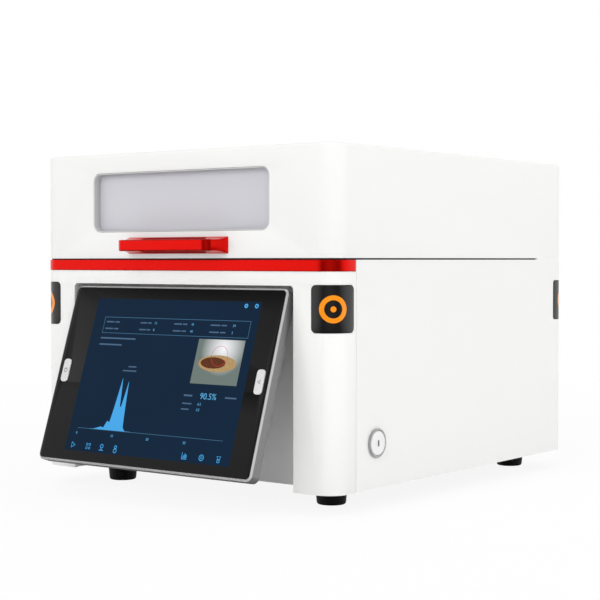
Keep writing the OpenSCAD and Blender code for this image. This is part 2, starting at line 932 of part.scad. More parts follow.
// Data sockets: [x of the middle, width, height, depth, cavity width, cavity height]
ports = [[-inlet_x - 22, 16, 13.5, 21, 12, 9], [-inlet_x, 14, 7, 16, 12.4, 4.8],
         [20 - inlet_x, 14, 7, 16, 12.4, 4.8]];
z_ports = z_base + ports_up;

module port_cut(p) {
  front_prism(body_d - 2 * wall, body_d + far)
    translate([p[0], z_ports + p[2] / 2]) square([p[1] + 2 * fit, p[2] + 2 * fit], center = true);
}

// The field of the sockets' own plate, in x and z
port_edge = 4;
port_lap = 2.5;
port_t = 1.2;
module port_field(grow = 0) {
  left = ports[0][0] - ports[0][1] / 2 - port_edge - grow;
  right = ports[2][0] + ports[2][1] / 2 + port_edge + grow;
  low = z_ports - port_edge - grow;
  translate([left, low]) square([right - left, ports[0][2] + 2 * (port_edge + grow)]);
}

module port_plate() {
  color("#c4c7ca")
    difference() {
      front_prism(body_d, body_d + port_t) port_field();
      for (p = ports) port_cut(p);
    }
}

module data_ports() {
  color("#b9bcc1")
    for (p = ports)
      difference() {
        front_prism(body_d - p[3], body_d + port_t)
          translate([p[0], z_ports + p[2] / 2]) square([p[1], p[2]], center = true);
        front_prism(body_d - p[3] + 4, body_d + far)
          translate([p[0], z_ports + p[2] / 2]) square([p[4], p[5]], center = true);
      }
}

port_pcb = [68, 45, 1.6];
module port_board() {
  edge = 9; // from the first socket's middle to the board's edge
  color("#1f6b3a")
    translate([ports[0][0] - edge, y_of(body_d - wall - air - port_pcb[1]), z_ports - port_pcb[2]])
      cube(port_pcb);
}

// ---------- side push button ----------

sleeve_r = ring_r - 0.9;
ring_out = 2;
ring_back = 16;
stem_r = 3;
y_button = y_of(button_d);
z_button = z_base + button_up;
x_side = body_w / 2;

module turned(profile_x) {
  translate([profile_x, y_button, z_button]) rotate([0, 90, 0]) children();
}

module button_ring() {
  color("#b9bcbf")
    turned(x_side)
      rotate_extrude()
        polygon([
          [cap_r + air, ring_out - 0.5], [cap_r + air + 0.5, ring_out], [ring_r - 0.7, ring_out],
          [ring_r, ring_out - 0.7], [ring_r, 0], [sleeve_r, 0], [sleeve_r, -ring_back],
          [stem_r + run, -ring_back], [stem_r + run, 2 - ring_back],
          [cap_r + air, 2 - ring_back]]);
}

module button_nut() {
  color("#9a9da1")
    turned(x_side - wall - 4)
      difference() {
        cylinder(h = 4, r = sleeve_r + 4.5, $fn = 6);
        translate([0, 0, -1]) cylinder(h = 6, r = sleeve_r + run);
      }
}

module button_cap() {
  crown = 0.5;
  skirt = 4;
  color("#eeeeee")
    turned(x_side)
      rotate_extrude()
        polygon([
          [0, ring_out + crown], [cap_r - 0.8, ring_out + 0.3], [cap_r, ring_out - 0.4],
          [cap_r, ring_out - skirt], [stem_r, ring_out - skirt], [stem_r, -ring_back - 4],
          [0, -ring_back - 4]]);
}

// ---------- lid hinges ----------

pin_d = body_d + hinge_reach - knuckle_r;
pin_z = z_part + rear_gap + 0.4;
leaf_t = 2;
leaf_h = 30;
middle_w = hinge_w / 3;
leaf_screw_x = [for (s = [-1, 1], x = [-1, 1]) s * hinge_x + x * (hinge_w / 2 - 8)];
leaf_screw_z = 20;
lid_screw_z = 22;

// A leaf with its knuckles: up = 1 for the lid's leaf, -1 for the cabinet's
module leaf(up) {
  clear = knuckle_r + air;
  for (s = [-1, 1])
    translate([s * hinge_x, 0, 0])
      difference() {
        union() {
          front_prism(body_d, body_d + leaf_t)
            difference() {
              translate([-hinge_w / 2, up > 0 ? pin_z : pin_z - leaf_h])
                square([hinge_w, leaf_h]);
              // room for the other leaf's knuckles
              if (up > 0)
                for (x = [-1, 1])
                  translate([x * hinge_w / 2, pin_z])
                    square([2 * (hinge_w - middle_w) / 2 + air, 2 * clear], center = true);
              else
                translate([0, pin_z]) square([middle_w + air, 2 * clear], center = true);
            }
          if (up > 0)
            rod_x(y_of(pin_d), pin_z, knuckle_r, -middle_w / 2 + air / 2, middle_w / 2 - air / 2);
          else
            for (x = [-1, 1])
              translate([x * (hinge_w + middle_w) / 4, 0, 0])
                rod_x(y_of(pin_d), pin_z, knuckle_r,
                      -(hinge_w - middle_w) / 4 + air / 2, (hinge_w - middle_w) / 4);
        }
        rod_x(y_of(pin_d), pin_z, pin_r + run, -hinge_w, hinge_w);
        for (x = [-1, 1])
          rod_y(x * (hinge_w / 2 - 8), up > 0 ? z_lid + lid_screw_z : z_part - leaf_screw_z,
                screw_r + run, body_d - 1, body_d + far);
      }
}

module hinge_leaves() {
  color("#a4a8ad") leaf(-1);
}
module lid_hinge_leaves() {
  color("#a4a8ad") leaf(1);
}

module hinge_pins() {
  color("#d0d3d6")
    for (s = [-1, 1])
      rod_x(y_of(pin_d), pin_z, pin_r, s * hinge_x - hinge_w / 2 - 1, s * hinge_x + hinge_w / 2 + 1);
}

module leaf_screws(z, len) {
  for (x = leaf_screw_x)
    translate([x, y_of(body_d + leaf_t + screw_head_h), z]) mirror([0, 1, 0]) screw(len);
}
module hinge_screws() {
  color("#8c8f93") leaf_screws(z_part - leaf_screw_z, screw_head_h + leaf_t + wall + 2);
}
module lid_hinge_screws() {
  color("#8c8f93") leaf_screws(z_lid + lid_screw_z, screw_head_h + leaf_t + lid_wall);
}

// ---------- lid ----------

z_window = z_lid + window_up + window_h / 2;
z_handle = z_lid + handle_up;
handle_screw_x = (grip_w + handle_w) / 4;

// Section of the rounded rim round the lid's roof
module rim_section() {
  inner = corner_r - 2 * edge_r;
  intersection() {
    translate([inner, 0]) square([2 * edge_r, edge_r]);
    union() {
      translate([corner_r - edge_r, 0]) circle(edge_r);
      translate([inner, 0]) square([edge_r, edge_r]);
    }
  }
}

module lid_shell() {
  color("#f7f7f7")
    difference() {
      union() {
        translate([0, 0, z_lid]) linear_extrude(lid_h - edge_r) band(0, lid_wall, 0, body_d);
        translate([0, 0, z_top - edge_r]) sweep_plan() rim_section();
        translate([0, 0, z_top - lid_wall]) linear_extrude(lid_wall) plan(edge_r + fit);
        // the closed zone at the rear
        translate([0, 0, z_part + rear_gap]) linear_extrude(lid_gap - rear_gap + 1)
          band(0, lid_wall, body_d - rear_zone, body_d);
      }
      front_prism(-far, lid_wall + 1)
        translate([0, z_window]) round_rect(window_w, window_h, window_r);
      for (s = [-1, 1]) rod_y(s * handle_screw_x, z_handle, screw_r + fit, -far, 2 * lid_wall);
      for (x = leaf_screw_x)
        rod_y(x, z_lid + lid_screw_z, screw_r + fit, body_d - 2 * lid_wall, body_d + far);
    }
}

// Shield inside the lid: four walls and a roof
liner_front = window_depth + glass_t + air;
module lid_liner() {
  inset = lid_wall + air;
  low = z_lid + 2;
  high = z_top - lid_wall;
  w = body_w - 2 * inset;
  d = body_d - inset - liner_front;
  r = corner_r - inset;
  color("#9da1a6")
    difference() {
      translate([0, y_of(liner_front + d / 2), low]) linear_extrude(high - low) round_rect(w, d, r);
      translate([0, y_of(liner_front + d / 2), low - 1]) linear_extrude(high - low + 1 - liner_t)
        round_rect(w - 2 * liner_t, d - 2 * liner_t, r - liner_t);
      front_prism(liner_front - 1, liner_front + liner_t + 1)
        translate([0, z_window]) round_rect(window_w - 7, window_h - 7, window_r - 3);
    }
}

frame_lip = 1.3;
module window_frame() {
  lap = 5.5;
  color("#8e9096")
    difference() {
      union() {
        front_prism(0.5, lid_wall + eps)
          translate([0, z_window]) round_rect(window_w - 2 * fit, window_h - 2 * fit, window_r - fit);
        front_prism(lid_wall, window_depth)
          translate([0, z_window]) round_rect(window_w + 2 * lap, window_h + 2 * lap, window_r + lap);
      }
      front_prism(-1, window_depth + 1)
        translate([0, z_window])
          round_rect(window_w - 2 * frame_lip, window_h - 2 * frame_lip, window_r - frame_lip);
    }
}

module viewing_window() {
  color("#c9ccd8")
    front_prism(window_depth, window_depth + glass_t)
      translate([0, z_window]) round_rect(window_w + 6, window_h + 6, window_r + 3);
}

// Side view of the handle: a bar that flares in a hollow curve toward the lid
module handle_profile() {
  soft = 1.2;
  reach = 12;
  flare = (handle_foot_h - handle_bar_h) / 2;
  half = handle_bar_h / 2;
  edge = [soft - handle_out, half - soft];
  top = concat([for (a = [180:-22.5:90]) edge + soft * [cos(a), sin(a)]],
               [for (t = [0:0.2:1]) [reach * (t - 1), half + flare * t * t]]);
  translate([y_of(0), 0])
    polygon(concat(top, [for (k = [len(top) - 1:-1:0]) [top[k][0], -top[k][1]]]));
}

// Plan of the handle: round ends, and the gap for the fingers behind the bar
module handle_plan() {
  end = 6;
  tip = [handle_bar_w / 2 - end, end - handle_out];
  right = concat([[handle_w / 2, 0], [handle_w / 2, -3]],
                 [for (a = [0:-15:-90]) tip + end * [cos(a), sin(a)]]);
  left = [for (k = [len(right) - 1:-1:0]) [-right[k][0], right[k][1]]];
  translate([0, y_of(0)])
    difference() {
      polygon(concat(right, left));
      round_rect(grip_w, 2 * (handle_out - grip_bar), 7);
    }
}

module pull_handle() {
  color("#dd0c0c")
    difference() {
      intersection() {
        translate([0, 0, z_handle]) side_prism(-handle_w, handle_w) handle_profile();
        translate([0, 0, z_handle - handle_foot_h]) linear_extrude(2 * handle_foot_h) handle_plan();
      }
      for (s = [-1, 1]) rod_y(s * handle_screw_x, z_handle, screw_r + run, -12, far);
    }
}

module handle_screws() {
  color("#9a9da1")
    for (s = [-1, 1])
      translate([s * handle_screw_x, y_of(lid_wall + screw_head_h), z_handle])
        mirror([0, 1, 0]) screw(screw_head_h + lid_wall + 10);
}

// ---------- display ----------

// The display's own place: x across, y into its thickness, z up its slope,
// the origin at the middle of its front top edge
module on_display() {
  translate([0, y_of(0), z_disp]) rotate([-disp_tilt, 0, 0]) children();
}

// A rounded slab in that place, drawn in by an inset, between two depths
module slab(inset, d0, d1, r) {
  translate([0, d1, -disp_h / 2]) rotate([90, 0, 0]) linear_extrude(d1 - d0)
    round_rect(disp_w - 2 * inset, disp_h - 2 * inset, r);
}

rim = 2;
pane_t = 1.8;
frame_wall = 3.5;
back_t = 1.8;
back_in = 6;
front_bevel = 1.5;
back_bevel = 2;

module display_frame() {
  color("#b7babd")
    on_display()
      difference() {
        hull($fn = 32) {
          slab(front_bevel, 0, eps, disp_r - front_bevel);
          slab(0, front_bevel, disp_t - back_bevel, disp_r);
          slab(back_bevel, disp_t - eps, disp_t, disp_r - back_bevel);
        }
        slab(rim, -1, pane_t + fit, disp_r - rim);
        slab(frame_wall, 0, disp_t - back_t - fit, disp_r - frame_wall);
        slab(back_in, 0, disp_t + 1, 2);
        translate([-disp_w, pivot_depth, -pivot_drop]) rotate([0, 90, 0])
          cylinder(h = 2 * disp_w, r = tilt_pin_r + run);
      }
}

// A soft-cornered key outline
key_r = 3.2;
module key_outline(grow = 0) {
  round_rect(key_w + 2 * grow, key_len + 2 * grow, key_r + grow);
}

module display_glass() {
  color("#17181a")
    on_display()
      difference() {
        slab(rim + fit, 0, pane_t, disp_r - rim - fit);
        for (s = [-1, 1])
          translate([s * key_x, pane_t + 1, -key_down]) rotate([90, 0, 0])
            linear_extrude(pane_t + 2) key_outline(air);
      }
}

panel_t = 4;
module lcd_panel() {
  border = 4;
  color("#20304c")
    on_display()
      translate([-screen_w / 2 - border, pane_t, -screen_down - screen_h - border])
        cube([screen_w + 2 * border, panel_t, screen_h + 2 * border]);
}

module display_board() {
  d = pane_t + panel_t;
  pcb = [0.7 * screen_w, 1.4, 0.6 * screen_h];
  chip = 18;
  plug = [100, 3, 5];
  foot = -screen_down - screen_h + 32;
  color("#1f6b3a")
    on_display() {
      translate([-pcb[0] / 2, d, foot]) cube(pcb);
      for (k = [0:3])
        translate([-56 + k * 30, d + pcb[1] - eps, foot + 34]) cube([chip, 2, chip]);
      translate([-plug[0] / 2, d + pcb[1] - eps, foot + 4]) cube(plug);
    }
}

key_stem = 3;
module key_boards() {
  d = pane_t + key_stem + key_travel + 0.5;
  w = 2 * (disp_w / 2 - back_in - fit - key_x);
  len = key_len + 9.5;
  color("#1f6b3a")
    on_display()
      for (s = [-1, 1])
        translate([s * key_x - w / 2, d, -key_down - len / 2]) cube([w, disp_t - back_t - d, len]);
}

module display_back() {
  color("#76797d")
    on_display() slab(back_in + fit, disp_t - back_t, disp_t, 1.8);
}

module tilt_pins() {
  color("#c8cbce")
    on_display()
      for (s = [-1, 1])
        translate([s > 0 ? disp_w / 2 - frame_wall : -tub_x - boss_t, pivot_depth, -pivot_drop])
          rotate([0, 90, 0])
            cylinder(h = tub_x + boss_t - disp_w / 2 + frame_wall, r = tilt_pin_r);
}

// A key: its face stands 0.8 proud of the glass, on a foot that holds it in
module display_key(s) {
  proud = 0.8;
  on_display()
    translate([s * key_x, 0, -key_down]) {
      translate([0, key_stem, 0]) rotate([90, 0, 0]) linear_extrude(key_stem + proud) key_outline();
      translate([0, key_stem, 0]) rotate([90, 0, 0]) linear_extrude(key_stem - pane_t - air)
        round_rect(key_w + 1.8, key_len + 4, key_r);
    }
}

module power_key() {
  color("#dcdcdc") display_key(-1);
}
module start_key() {
  color("#dcdcdc") display_key(1);
}

// ---------- the nodes ----------

base_shell();
rear_panel();
panel_screws();
front_fascia();
display_recess();
accent_strip();
corner_plates();
bottom_plate();
rubber_feet();
foot_screws();
deck_plate();
deck_rim();
stage_plate();
aperture_ring();
lid_seal();
measuring_head();
collimator();
xray_tube();
detector();
sample_camera();
hv_generator();
power_supply();
control_board();
board_standoffs();
interlock_sensor();
fan_frame();
fan_rotor();
fan_screws();
mains_inlet();
inlet_pins();
mains_rocker();
data_ports();
port_plate();
port_board();
button_ring();
button_nut();
button_cap();
hinge_leaves();
hinge_pins();
hinge_screws();
lid_shell();
lid_liner();
window_frame();
viewing_window();
pull_handle();
handle_screws();
interlock_magnet();
lid_hinge_leaves();
lid_hinge_screws();
display_frame();
display_glass();
lcd_panel();
display_board();
key_boards();
display_back();
tilt_pins();
power_key();
start_key();
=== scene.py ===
# %% Start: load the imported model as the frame
import json
import math

import bmesh
import bpy
from mathutils import Matrix, Vector


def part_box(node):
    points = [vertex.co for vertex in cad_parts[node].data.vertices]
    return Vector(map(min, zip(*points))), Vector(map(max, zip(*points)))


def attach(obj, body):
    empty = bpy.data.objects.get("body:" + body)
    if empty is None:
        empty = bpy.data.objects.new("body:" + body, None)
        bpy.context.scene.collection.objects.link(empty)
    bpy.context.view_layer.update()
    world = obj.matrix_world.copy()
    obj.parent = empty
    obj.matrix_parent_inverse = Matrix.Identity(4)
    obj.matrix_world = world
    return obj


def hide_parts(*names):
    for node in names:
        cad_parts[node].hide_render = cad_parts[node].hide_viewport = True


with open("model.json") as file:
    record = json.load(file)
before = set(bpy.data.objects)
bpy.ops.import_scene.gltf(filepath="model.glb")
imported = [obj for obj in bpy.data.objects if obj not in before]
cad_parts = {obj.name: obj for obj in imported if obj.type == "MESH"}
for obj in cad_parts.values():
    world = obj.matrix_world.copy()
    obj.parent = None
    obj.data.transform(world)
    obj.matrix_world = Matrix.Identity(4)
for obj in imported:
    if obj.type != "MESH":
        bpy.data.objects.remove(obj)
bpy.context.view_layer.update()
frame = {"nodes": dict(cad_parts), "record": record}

# %% [markdown]
# The object is a bench-top gold tester: a white cabinet, a lid on rear hinges, and a touch
# display that leans out of the front. The frame gives every place in metres, with the front
# facing -Y, so sizes are read from the frame where they can be. Only what the frame can't
# tell, such as a corner radius, is written down here as a named value.

# %% Sizes that many pieces share
MM = 0.001
TINY = 1e-5  # how near to a plane an edge or face must lie to be picked
FACING = 0.9  # how squarely it must point along an axis to be picked
BEYOND = 10 * MM  # how far a cutter reaches past what it cuts
ROUND_STEPS = 16

casing_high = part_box("base_shell")[1]
fascia_low, fascia_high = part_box("front_fascia")
lid_low, lid_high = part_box("lid_shell")
front_y = fascia_low.y
half_width = fascia_high.x
middle_y = (fascia_low.y + casing_high.y) / 2
corner_radius = 20 * MM
print("cabinet", round(2 * half_width, 4), "wide, front face at", round(front_y, 4))

# %% [markdown]
# ## Camera
# The camera stands where the photographer's did, to the right of the front and a little above
# the strip. It hardly tips down, so upright edges stay parallel. A wide lens close by would
# spread the cabinet's sides, so a long lens far away is used, as in a catalogue picture.

# %% The camera
camera_place = Vector((0.9371, -1.2432, 0.2227))
tipped_down = math.radians(1.532)
turned_left = math.radians(37.061)

camera_data = bpy.data.cameras.new("catalogue_camera")
camera_data.sensor_width = 36
camera_data.lens = 90.82
camera = bpy.data.objects.new("catalogue_camera", camera_data)
camera.location = camera_place
camera.rotation_euler = (math.pi / 2 - tipped_down, 0, turned_left)
bpy.context.scene.collection.objects.link(camera)
bpy.context.scene.camera = camera
bpy.context.scene.view_settings.view_transform = "Standard"
print("camera", round(camera_place.length, 2), "m away")

# %% [markdown]
# ## World, floor and lamps
# Node trees can be wired by hand, link by link, but the world, the floor and the finishes all
# need short sums and ramps. Three small functions make such nodes, so that each tree below
# reads like a formula.

# %% A small kit for nodes


def feed(tree, value, socket):
    """Gives a socket a number, a colour or another socket's output."""
    if isinstance(value, bpy.types.NodeSocket):
        tree.links.new(value, socket)
    elif isinstance(value, (int, float)):
        socket.default_value = value
    else:
        socket.default_value = (*value, 1)


def math_node(tree, operation, *values):
    """A Math node fed by sockets or plain numbers."""
    node = tree.nodes.new("ShaderNodeMath")
    node.operation = operation
    for value, socket in zip(values, node.inputs):
        feed(tree, value, socket)
    return node.outputs[0]


def grey_ramp(tree, factor, stops):
    """A ramp through (place, grey) stops, fed by a socket."""
    node = tree.nodes.new("ShaderNodeValToRGB")
    ramp = node.color_ramp
    ramp.elements.remove(ramp.elements[0])
    ramp.elements[0].position = stops[0][0]
    for place, _ in stops[1:]:
        ramp.elements.new(place)
    for element, (_, grey) in zip(ramp.elements, stops):
        element.color = (grey, grey, grey, 1)
    feed(tree, factor, node.inputs[0])
    return node.outputs[0]


print("kit ready")

# %% [markdown]
# A white product on a white page is shaped by soft shadows and by what its gloss mirrors. One
# white world would light it evenly and leave it flat, so this one has three looks. The camera
# sees a white page. Diffuse light gets a weaker white, so that the cabinet keeps its form.
# Mirror reflections see a studio: bright walls with two dark screens, one straight in front and
# one to the right, and dark above and below. The screens draw the dark bands round glossy
# corners, and the dark ends of the room draw a thin line along each beveled edge. The looks
# depend on the direction in the room only, so they are the same for every camera.

# %% World: the studio that the gloss mirrors
# Turns round the room from the front (0) over the right side (0.25) to the rear (0.5), and grey
STUDIO_WALLS = [(-0.5, 1.0), (-0.10, 1.0), (-0.045, 0.5), (-0.012, 0.03), (0.017, 0.03),
                (0.085, 0.26), (0.14, 0.2), (0.20, 0.02), (0.235, 0.06), (0.29, 0.7),
                (0.33, 1.0), (0.5, 1.0)]
# Heights in the room from straight down (0) over level (0.5) to straight up (1), and grey
STUDIO_HEIGHTS = [(0.0, 0.04), (0.30, 0.04), (0.37, 1.0), (0.76, 1.0), (0.82, 0.04)]

world = bpy.data.worlds.new("white_studio")
bpy.context.scene.world = world
world.use_nodes = True
world_tree = world.node_tree
world_tree.nodes.clear()


def world_math(operation, *values):
    """A Math node in the world."""
    return math_node(world_tree, operation, *values)


room = world_tree.nodes.new("ShaderNodeTexCoord")
room_axes = world_tree.nodes.new("ShaderNodeSeparateXYZ")
feed(world_tree, room.outputs["Generated"], room_axes.inputs[0])
toward_front = world_math("MULTIPLY", room_axes.outputs["Y"], -1.0)
turn = world_math("ARCTAN2", room_axes.outputs["X"], toward_front)
turn_share = world_math("ADD", world_math("DIVIDE", turn, 2 * math.pi), 0.5)
walls = grey_ramp(world_tree, turn_share, [(place + 0.5, grey) for place, grey in STUDIO_WALLS])
height = world_math("ADD", world_math("MULTIPLY", room_axes.outputs["Z"], 0.5), 0.5)
levels = grey_ramp(world_tree, height, STUDIO_HEIGHTS)
studio_grey = world_math("MULTIPLY", walls, levels)
print("studio with", len(STUDIO_WALLS), "stops round and", len(STUDIO_HEIGHTS), "up")

# %% World: page, fill and studio, each for its own rays
FILL_STRENGTH = 0.66
WHITE = (1, 1, 1)


def background(colour, strength):
    """A plain world shader."""
    shader = world_tree.nodes.new("ShaderNodeBackground")
    feed(world_tree, colour, shader.inputs["Color"])
    feed(world_tree, strength, shader.inputs["Strength"])
    return shader.outputs[0]


def mix_shaders(tree, factor, first, second):
    """A shader that goes from the first to the second with the factor."""
    mix = tree.nodes.new("ShaderNodeMixShader")
    for value, socket in zip((factor, first, second), mix.inputs):
        feed(tree, value, socket)
    return mix.outputs[0]


def looked_at(tree):
    """One for rays that come from the camera or through glass."""
    rays = tree.nodes.new("ShaderNodeLightPath").outputs
    return math_node(tree, "MAXIMUM", rays["Is Camera Ray"], rays["Is Transmission Ray"])


page_or_fill = mix_shaders(world_tree, looked_at(world_tree), background(WHITE, FILL_STRENGTH),
                           background(WHITE, 1.0))
mirrored_ray = world_tree.nodes.new("ShaderNodeLightPath").outputs["Is Glossy Ray"]
world_look = mix_shaders(world_tree, mirrored_ray, page_or_fill, background(studio_grey, 1.0))
world_out = world_tree.nodes.new("ShaderNodeOutputWorld")
feed(world_tree, world_look, world_out.inputs[0])
print("world fill", FILL_STRENGTH)

# %% [markdown]
# The floor is a round sheet of paper. A plain lit sheet would end in a visible edge, so this
# one glows white where it is looked at: fully at its rim, where it melts into the page, and a
# little less near the object, where it keeps a faint shadow. Mirror reflections pass through
# it and see the studio, so a gloss reads the same down to its foot.

# %% Floor: a round sheet
FLOOR_RADIUS = 1.7


def clear_selection():
    """Nothing selected, because an operator acts on all that is."""
    bpy.ops.object.select_all(action="DESELECT")


clear_selection()
bpy.ops.mesh.primitive_circle_add(vertices=96, radius=FLOOR_RADIUS, fill_type="NGON")
floor = bpy.context.active_object
floor.name = "floor"
floor.visible_glossy = False
print("floor radius", FLOOR_RADIUS)

# %% Floor: paper that keeps a faint shadow and melts into the page
NEAR_GLOW = 0.90
# Distances from the floor's middle as shares of its radius, and glow
GLOW_STOPS = [(0.0, NEAR_GLOW), (0.25, NEAR_GLOW), (0.85, 1.0)]
PAPER_GREY = (0.9, 0.9, 0.9)

floor_paper = bpy.data.materials.new("white_paper")
floor_paper.use_nodes = True
paper_tree = floor_paper.node_tree
paper_tree.nodes.clear()
paper_matt = paper_tree.nodes.new("ShaderNodeBsdfDiffuse")
feed(paper_tree, PAPER_GREY, paper_matt.inputs["Color"])
paper_glow = paper_tree.nodes.new("ShaderNodeEmission")
feed(paper_tree, WHITE, paper_glow.inputs["Color"])
paper_place = paper_tree.nodes.new("ShaderNodeTexCoord")
paper_far = paper_tree.nodes.new("ShaderNodeVectorMath")
paper_far.operation = "LENGTH"
feed(paper_tree, paper_place.outputs["Object"], paper_far.inputs[0])
rim_share = math_node(paper_tree, "DIVIDE", paper_far.outputs["Value"], FLOOR_RADIUS)
glow_share = math_node(paper_tree, "MULTIPLY", looked_at(paper_tree),
                       grey_ramp(paper_tree, rim_share, GLOW_STOPS))
paper_out = paper_tree.nodes.new("ShaderNodeOutputMaterial")
feed(paper_tree, mix_shaders(paper_tree, glow_share, paper_matt.outputs[0], paper_glow.outputs[0]),
     paper_out.inputs[0])
floor.data.materials.append(floor_paper)
print("paper glow", NEAR_GLOW, "near the object")

# %% [markdown]
# Small lamps would draw hard shadows and bright dots. Three large soft boxes, as in a product
# studio, light the front, the right side and the roof, each a little differently, so that the
# three sides can be told apart. They stay out of reflections, where the studio walls do that
# work.

# %% Lamps: three large soft boxes
object_centre = Vector((0, 0, 0.16))


def soft_box(name, place, size, watts):
    """A square area lamp that looks at the object and is left out of its reflections."""
    lamp_data = bpy.data.lights.new(name, "AREA")
    lamp_data.shape = "SQUARE"
    lamp_data.size = size
    lamp_data.energy = watts
    lamp = bpy.data.objects.new(name, lamp_data)
    lamp.location = place
    lamp.rotation_euler = (object_centre - Vector(place)).to_track_quat("-Z", "Y").to_euler()
    lamp.visible_glossy = False
    bpy.context.scene.collection.objects.link(lamp)


soft_box("front_lamp", (0.4, -3.0, 1.5), 2.0, 31)
soft_box("side_lamp", (2.9, 0.4, 1.5), 2.0, 25)
soft_box("top_lamp", (0.0, -0.2, 2.8), 2.4, 14)

# %% [markdown]
# ## Finishes
# Most surfaces here are powder coat, moulded plastic or plated metal. Up close each one has a
# fine grain, and from further away its gloss and colour drift a little. Painted images could
# show that, but noise on Object coordinates needs no unwrapping and never blurs. The effects
# are built once as node groups and placed in every material with its own values.

# %% Node groups: a fine grain, a slow drift and brushing along one axis


def noise_group(name, scale, output, detail, roughness=0.5, stretch=(1.0, 1.0, 1.0)):
    """A node group that puts out one noise, with the noise's scale as its input."""
    group = bpy.data.node_groups.new(name, "ShaderNodeTree")
    asked = group.interface.new_socket("Scale", in_out="INPUT", socket_type="NodeSocketFloat")
    asked.default_value = scale
    group.interface.new_socket(output, in_out="OUTPUT", socket_type="NodeSocketFloat")
    start = group.nodes.new("NodeGroupInput")
    end = group.nodes.new("NodeGroupOutput")
    place = group.nodes.new("ShaderNodeTexCoord")
    mapping = group.nodes.new("ShaderNodeMapping")
    mapping.inputs["Scale"].default_value = stretch
    noise = group.nodes.new("ShaderNodeTexNoise")
    noise.inputs["Detail"].default_value = detail
    noise.inputs["Roughness"].default_value = roughness
    group.links.new(place.outputs["Object"], mapping.inputs["Vector"])
    group.links.new(mapping.outputs["Vector"], noise.inputs["Vector"])
    group.links.new(start.outputs["Scale"], noise.inputs["Scale"])
    group.links.new(noise.outputs["Fac"], end.inputs[output])
    return group


grain_group = noise_group("surface_grain", 1500.0, "Height", detail=3.0, roughness=0.55)
drift_group = noise_group("slow_drift", 14.0, "Mask", detail=4.0)
brush_group = noise_group("brushing", 900.0, "Height", detail=2.0, stretch=(0.02, 1.0, 1.0))
print("groups", grain_group.name, drift_group.name, brush_group.name)

# %% [markdown]
# A finish is mixed by one function from these groups: two close colours that drift into each
# other, a roughness that drifts with them, and the grain as a bump. Copying a node tree for
# each of the finishes would do the same with far more lines.

# %% Steps that every finish starts with
finishes = {}


def place_group(tree, group, scale):
    """A node group in a material, with its own scale."""
    node = tree.nodes.new("ShaderNodeGroup")
    node.node_tree = group
    node.inputs["Scale"].default_value = scale
    return node.outputs[0]


def mix_colours(tree, mask, first, second):
    """A colour that goes from the first to the second with the mask."""
    mix = tree.nodes.new("ShaderNodeMix")
    mix.data_type = "RGBA"
    for value, socket in ((mask, "Factor"), (first, "A"), (second, "B")):
        feed(tree, value, mix.inputs[socket])
    return mix.outputs["Result"]


def start_finish(name, slot, **values):
    """A new material for one of the record's slots, with plain values on its shader."""
    material = bpy.data.materials.new(name)
    material["slot"] = slot
    material.use_nodes = True
    tree = material.node_tree
    shader = tree.nodes["Principled BSDF"].inputs
    for socket, value in values.items():
        feed(tree, value, shader[socket.replace("_", " ")])
    finishes[name] = material
    return material, tree, shader


print("finish steps ready")

# %% One function that mixes a finish from the groups
BUMP_DEPTH = 1 * MM


def make_finish(name, colour, shade, rough, metal=0.0, gloss=0.5, grain=(1500.0, 0.02),
                drift=14.0, brushed=False, slot=None):
    """A finish: two close colours that drift, a roughness that drifts, and a fine grain."""
    material, tree, shader = start_finish(name, slot or name, Metallic=metal,
                                          Specular_IOR_Level=gloss)
    slow = place_group(tree, drift_group, drift)
    darker = [channel * shade for channel in colour]
    feed(tree, mix_colours(tree, slow, colour, darker), shader["Base Color"])
    spread = tree.nodes.new("ShaderNodeMapRange")
    spread.inputs["To Min"].default_value, spread.inputs["To Max"].default_value = rough
    feed(tree, slow, spread.inputs["Value"])
    feed(tree, spread.outputs["Result"], shader["Roughness"])
    grain_scale, grain_strength = grain
    bump = tree.nodes.new("ShaderNodeBump")
    bump.inputs["Strength"].default_value = grain_strength
    bump.inputs["Distance"].default_value = BUMP_DEPTH
    fine = place_group(tree, brush_group if brushed else grain_group, grain_scale)
    feed(tree, fine, bump.inputs["Height"])
    feed(tree, bump.outputs["Normal"], shader["Normal"])
    return material


print("finish mixer ready")

# %% [markdown]
# The record names a finish for every node. The colours below are the photograph's: a warm
# white for casing and lid, a clear red for handle and strip, near black for glass and rubber.
# A finish that only part of a piece wears keeps the slot of that piece.

# %% The finishes for housings
make_finish("white_enamel", (0.885, 0.885, 0.875), 0.985, (0.34, 0.42), gloss=0.25,
            grain=(1800.0, 0.05))
make_finish("white_fascia", (0.90, 0.90, 0.89), 0.985, (0.30, 0.36), gloss=0.25,
            grain=(2200.0, 0.03))
make_finish("grey_tub", (0.80, 0.80, 0.80), 0.96, (0.45, 0.58), gloss=0.3, grain=(1400.0, 0.12))
make_finish("red_gloss", (0.82, 0.005, 0.002), 0.95, (0.14, 0.2), metal=0.74, gloss=0.22,
            grain=(900.0, 0.01))
# A matt red for the finger gap, painted much darker than the gloss red as painted shade
make_finish("red_matt_painted_shade", (0.30, 0.004, 0.002), 0.9, (0.4, 0.5), gloss=0.15,
            grain=(1500.0, 0.06), slot="red_gloss")
make_finish("window_grey", (0.62, 0.62, 0.63), 0.95, (0.38, 0.46), grain=(1800.0, 0.05))
make_finish("shield_paint", (0.42, 0.435, 0.455), 0.94, (0.4, 0.5), grain=(1500.0, 0.08))
make_finish("deck_paint", (0.66, 0.67, 0.68), 0.95, (0.42, 0.5), grain=(1800.0, 0.08))
make_finish("rubber", (0.012, 0.012, 0.013), 0.8, (0.55, 0.7), gloss=0.3, grain=(1200.0, 0.2))
print(len(finishes), "finishes for housings")

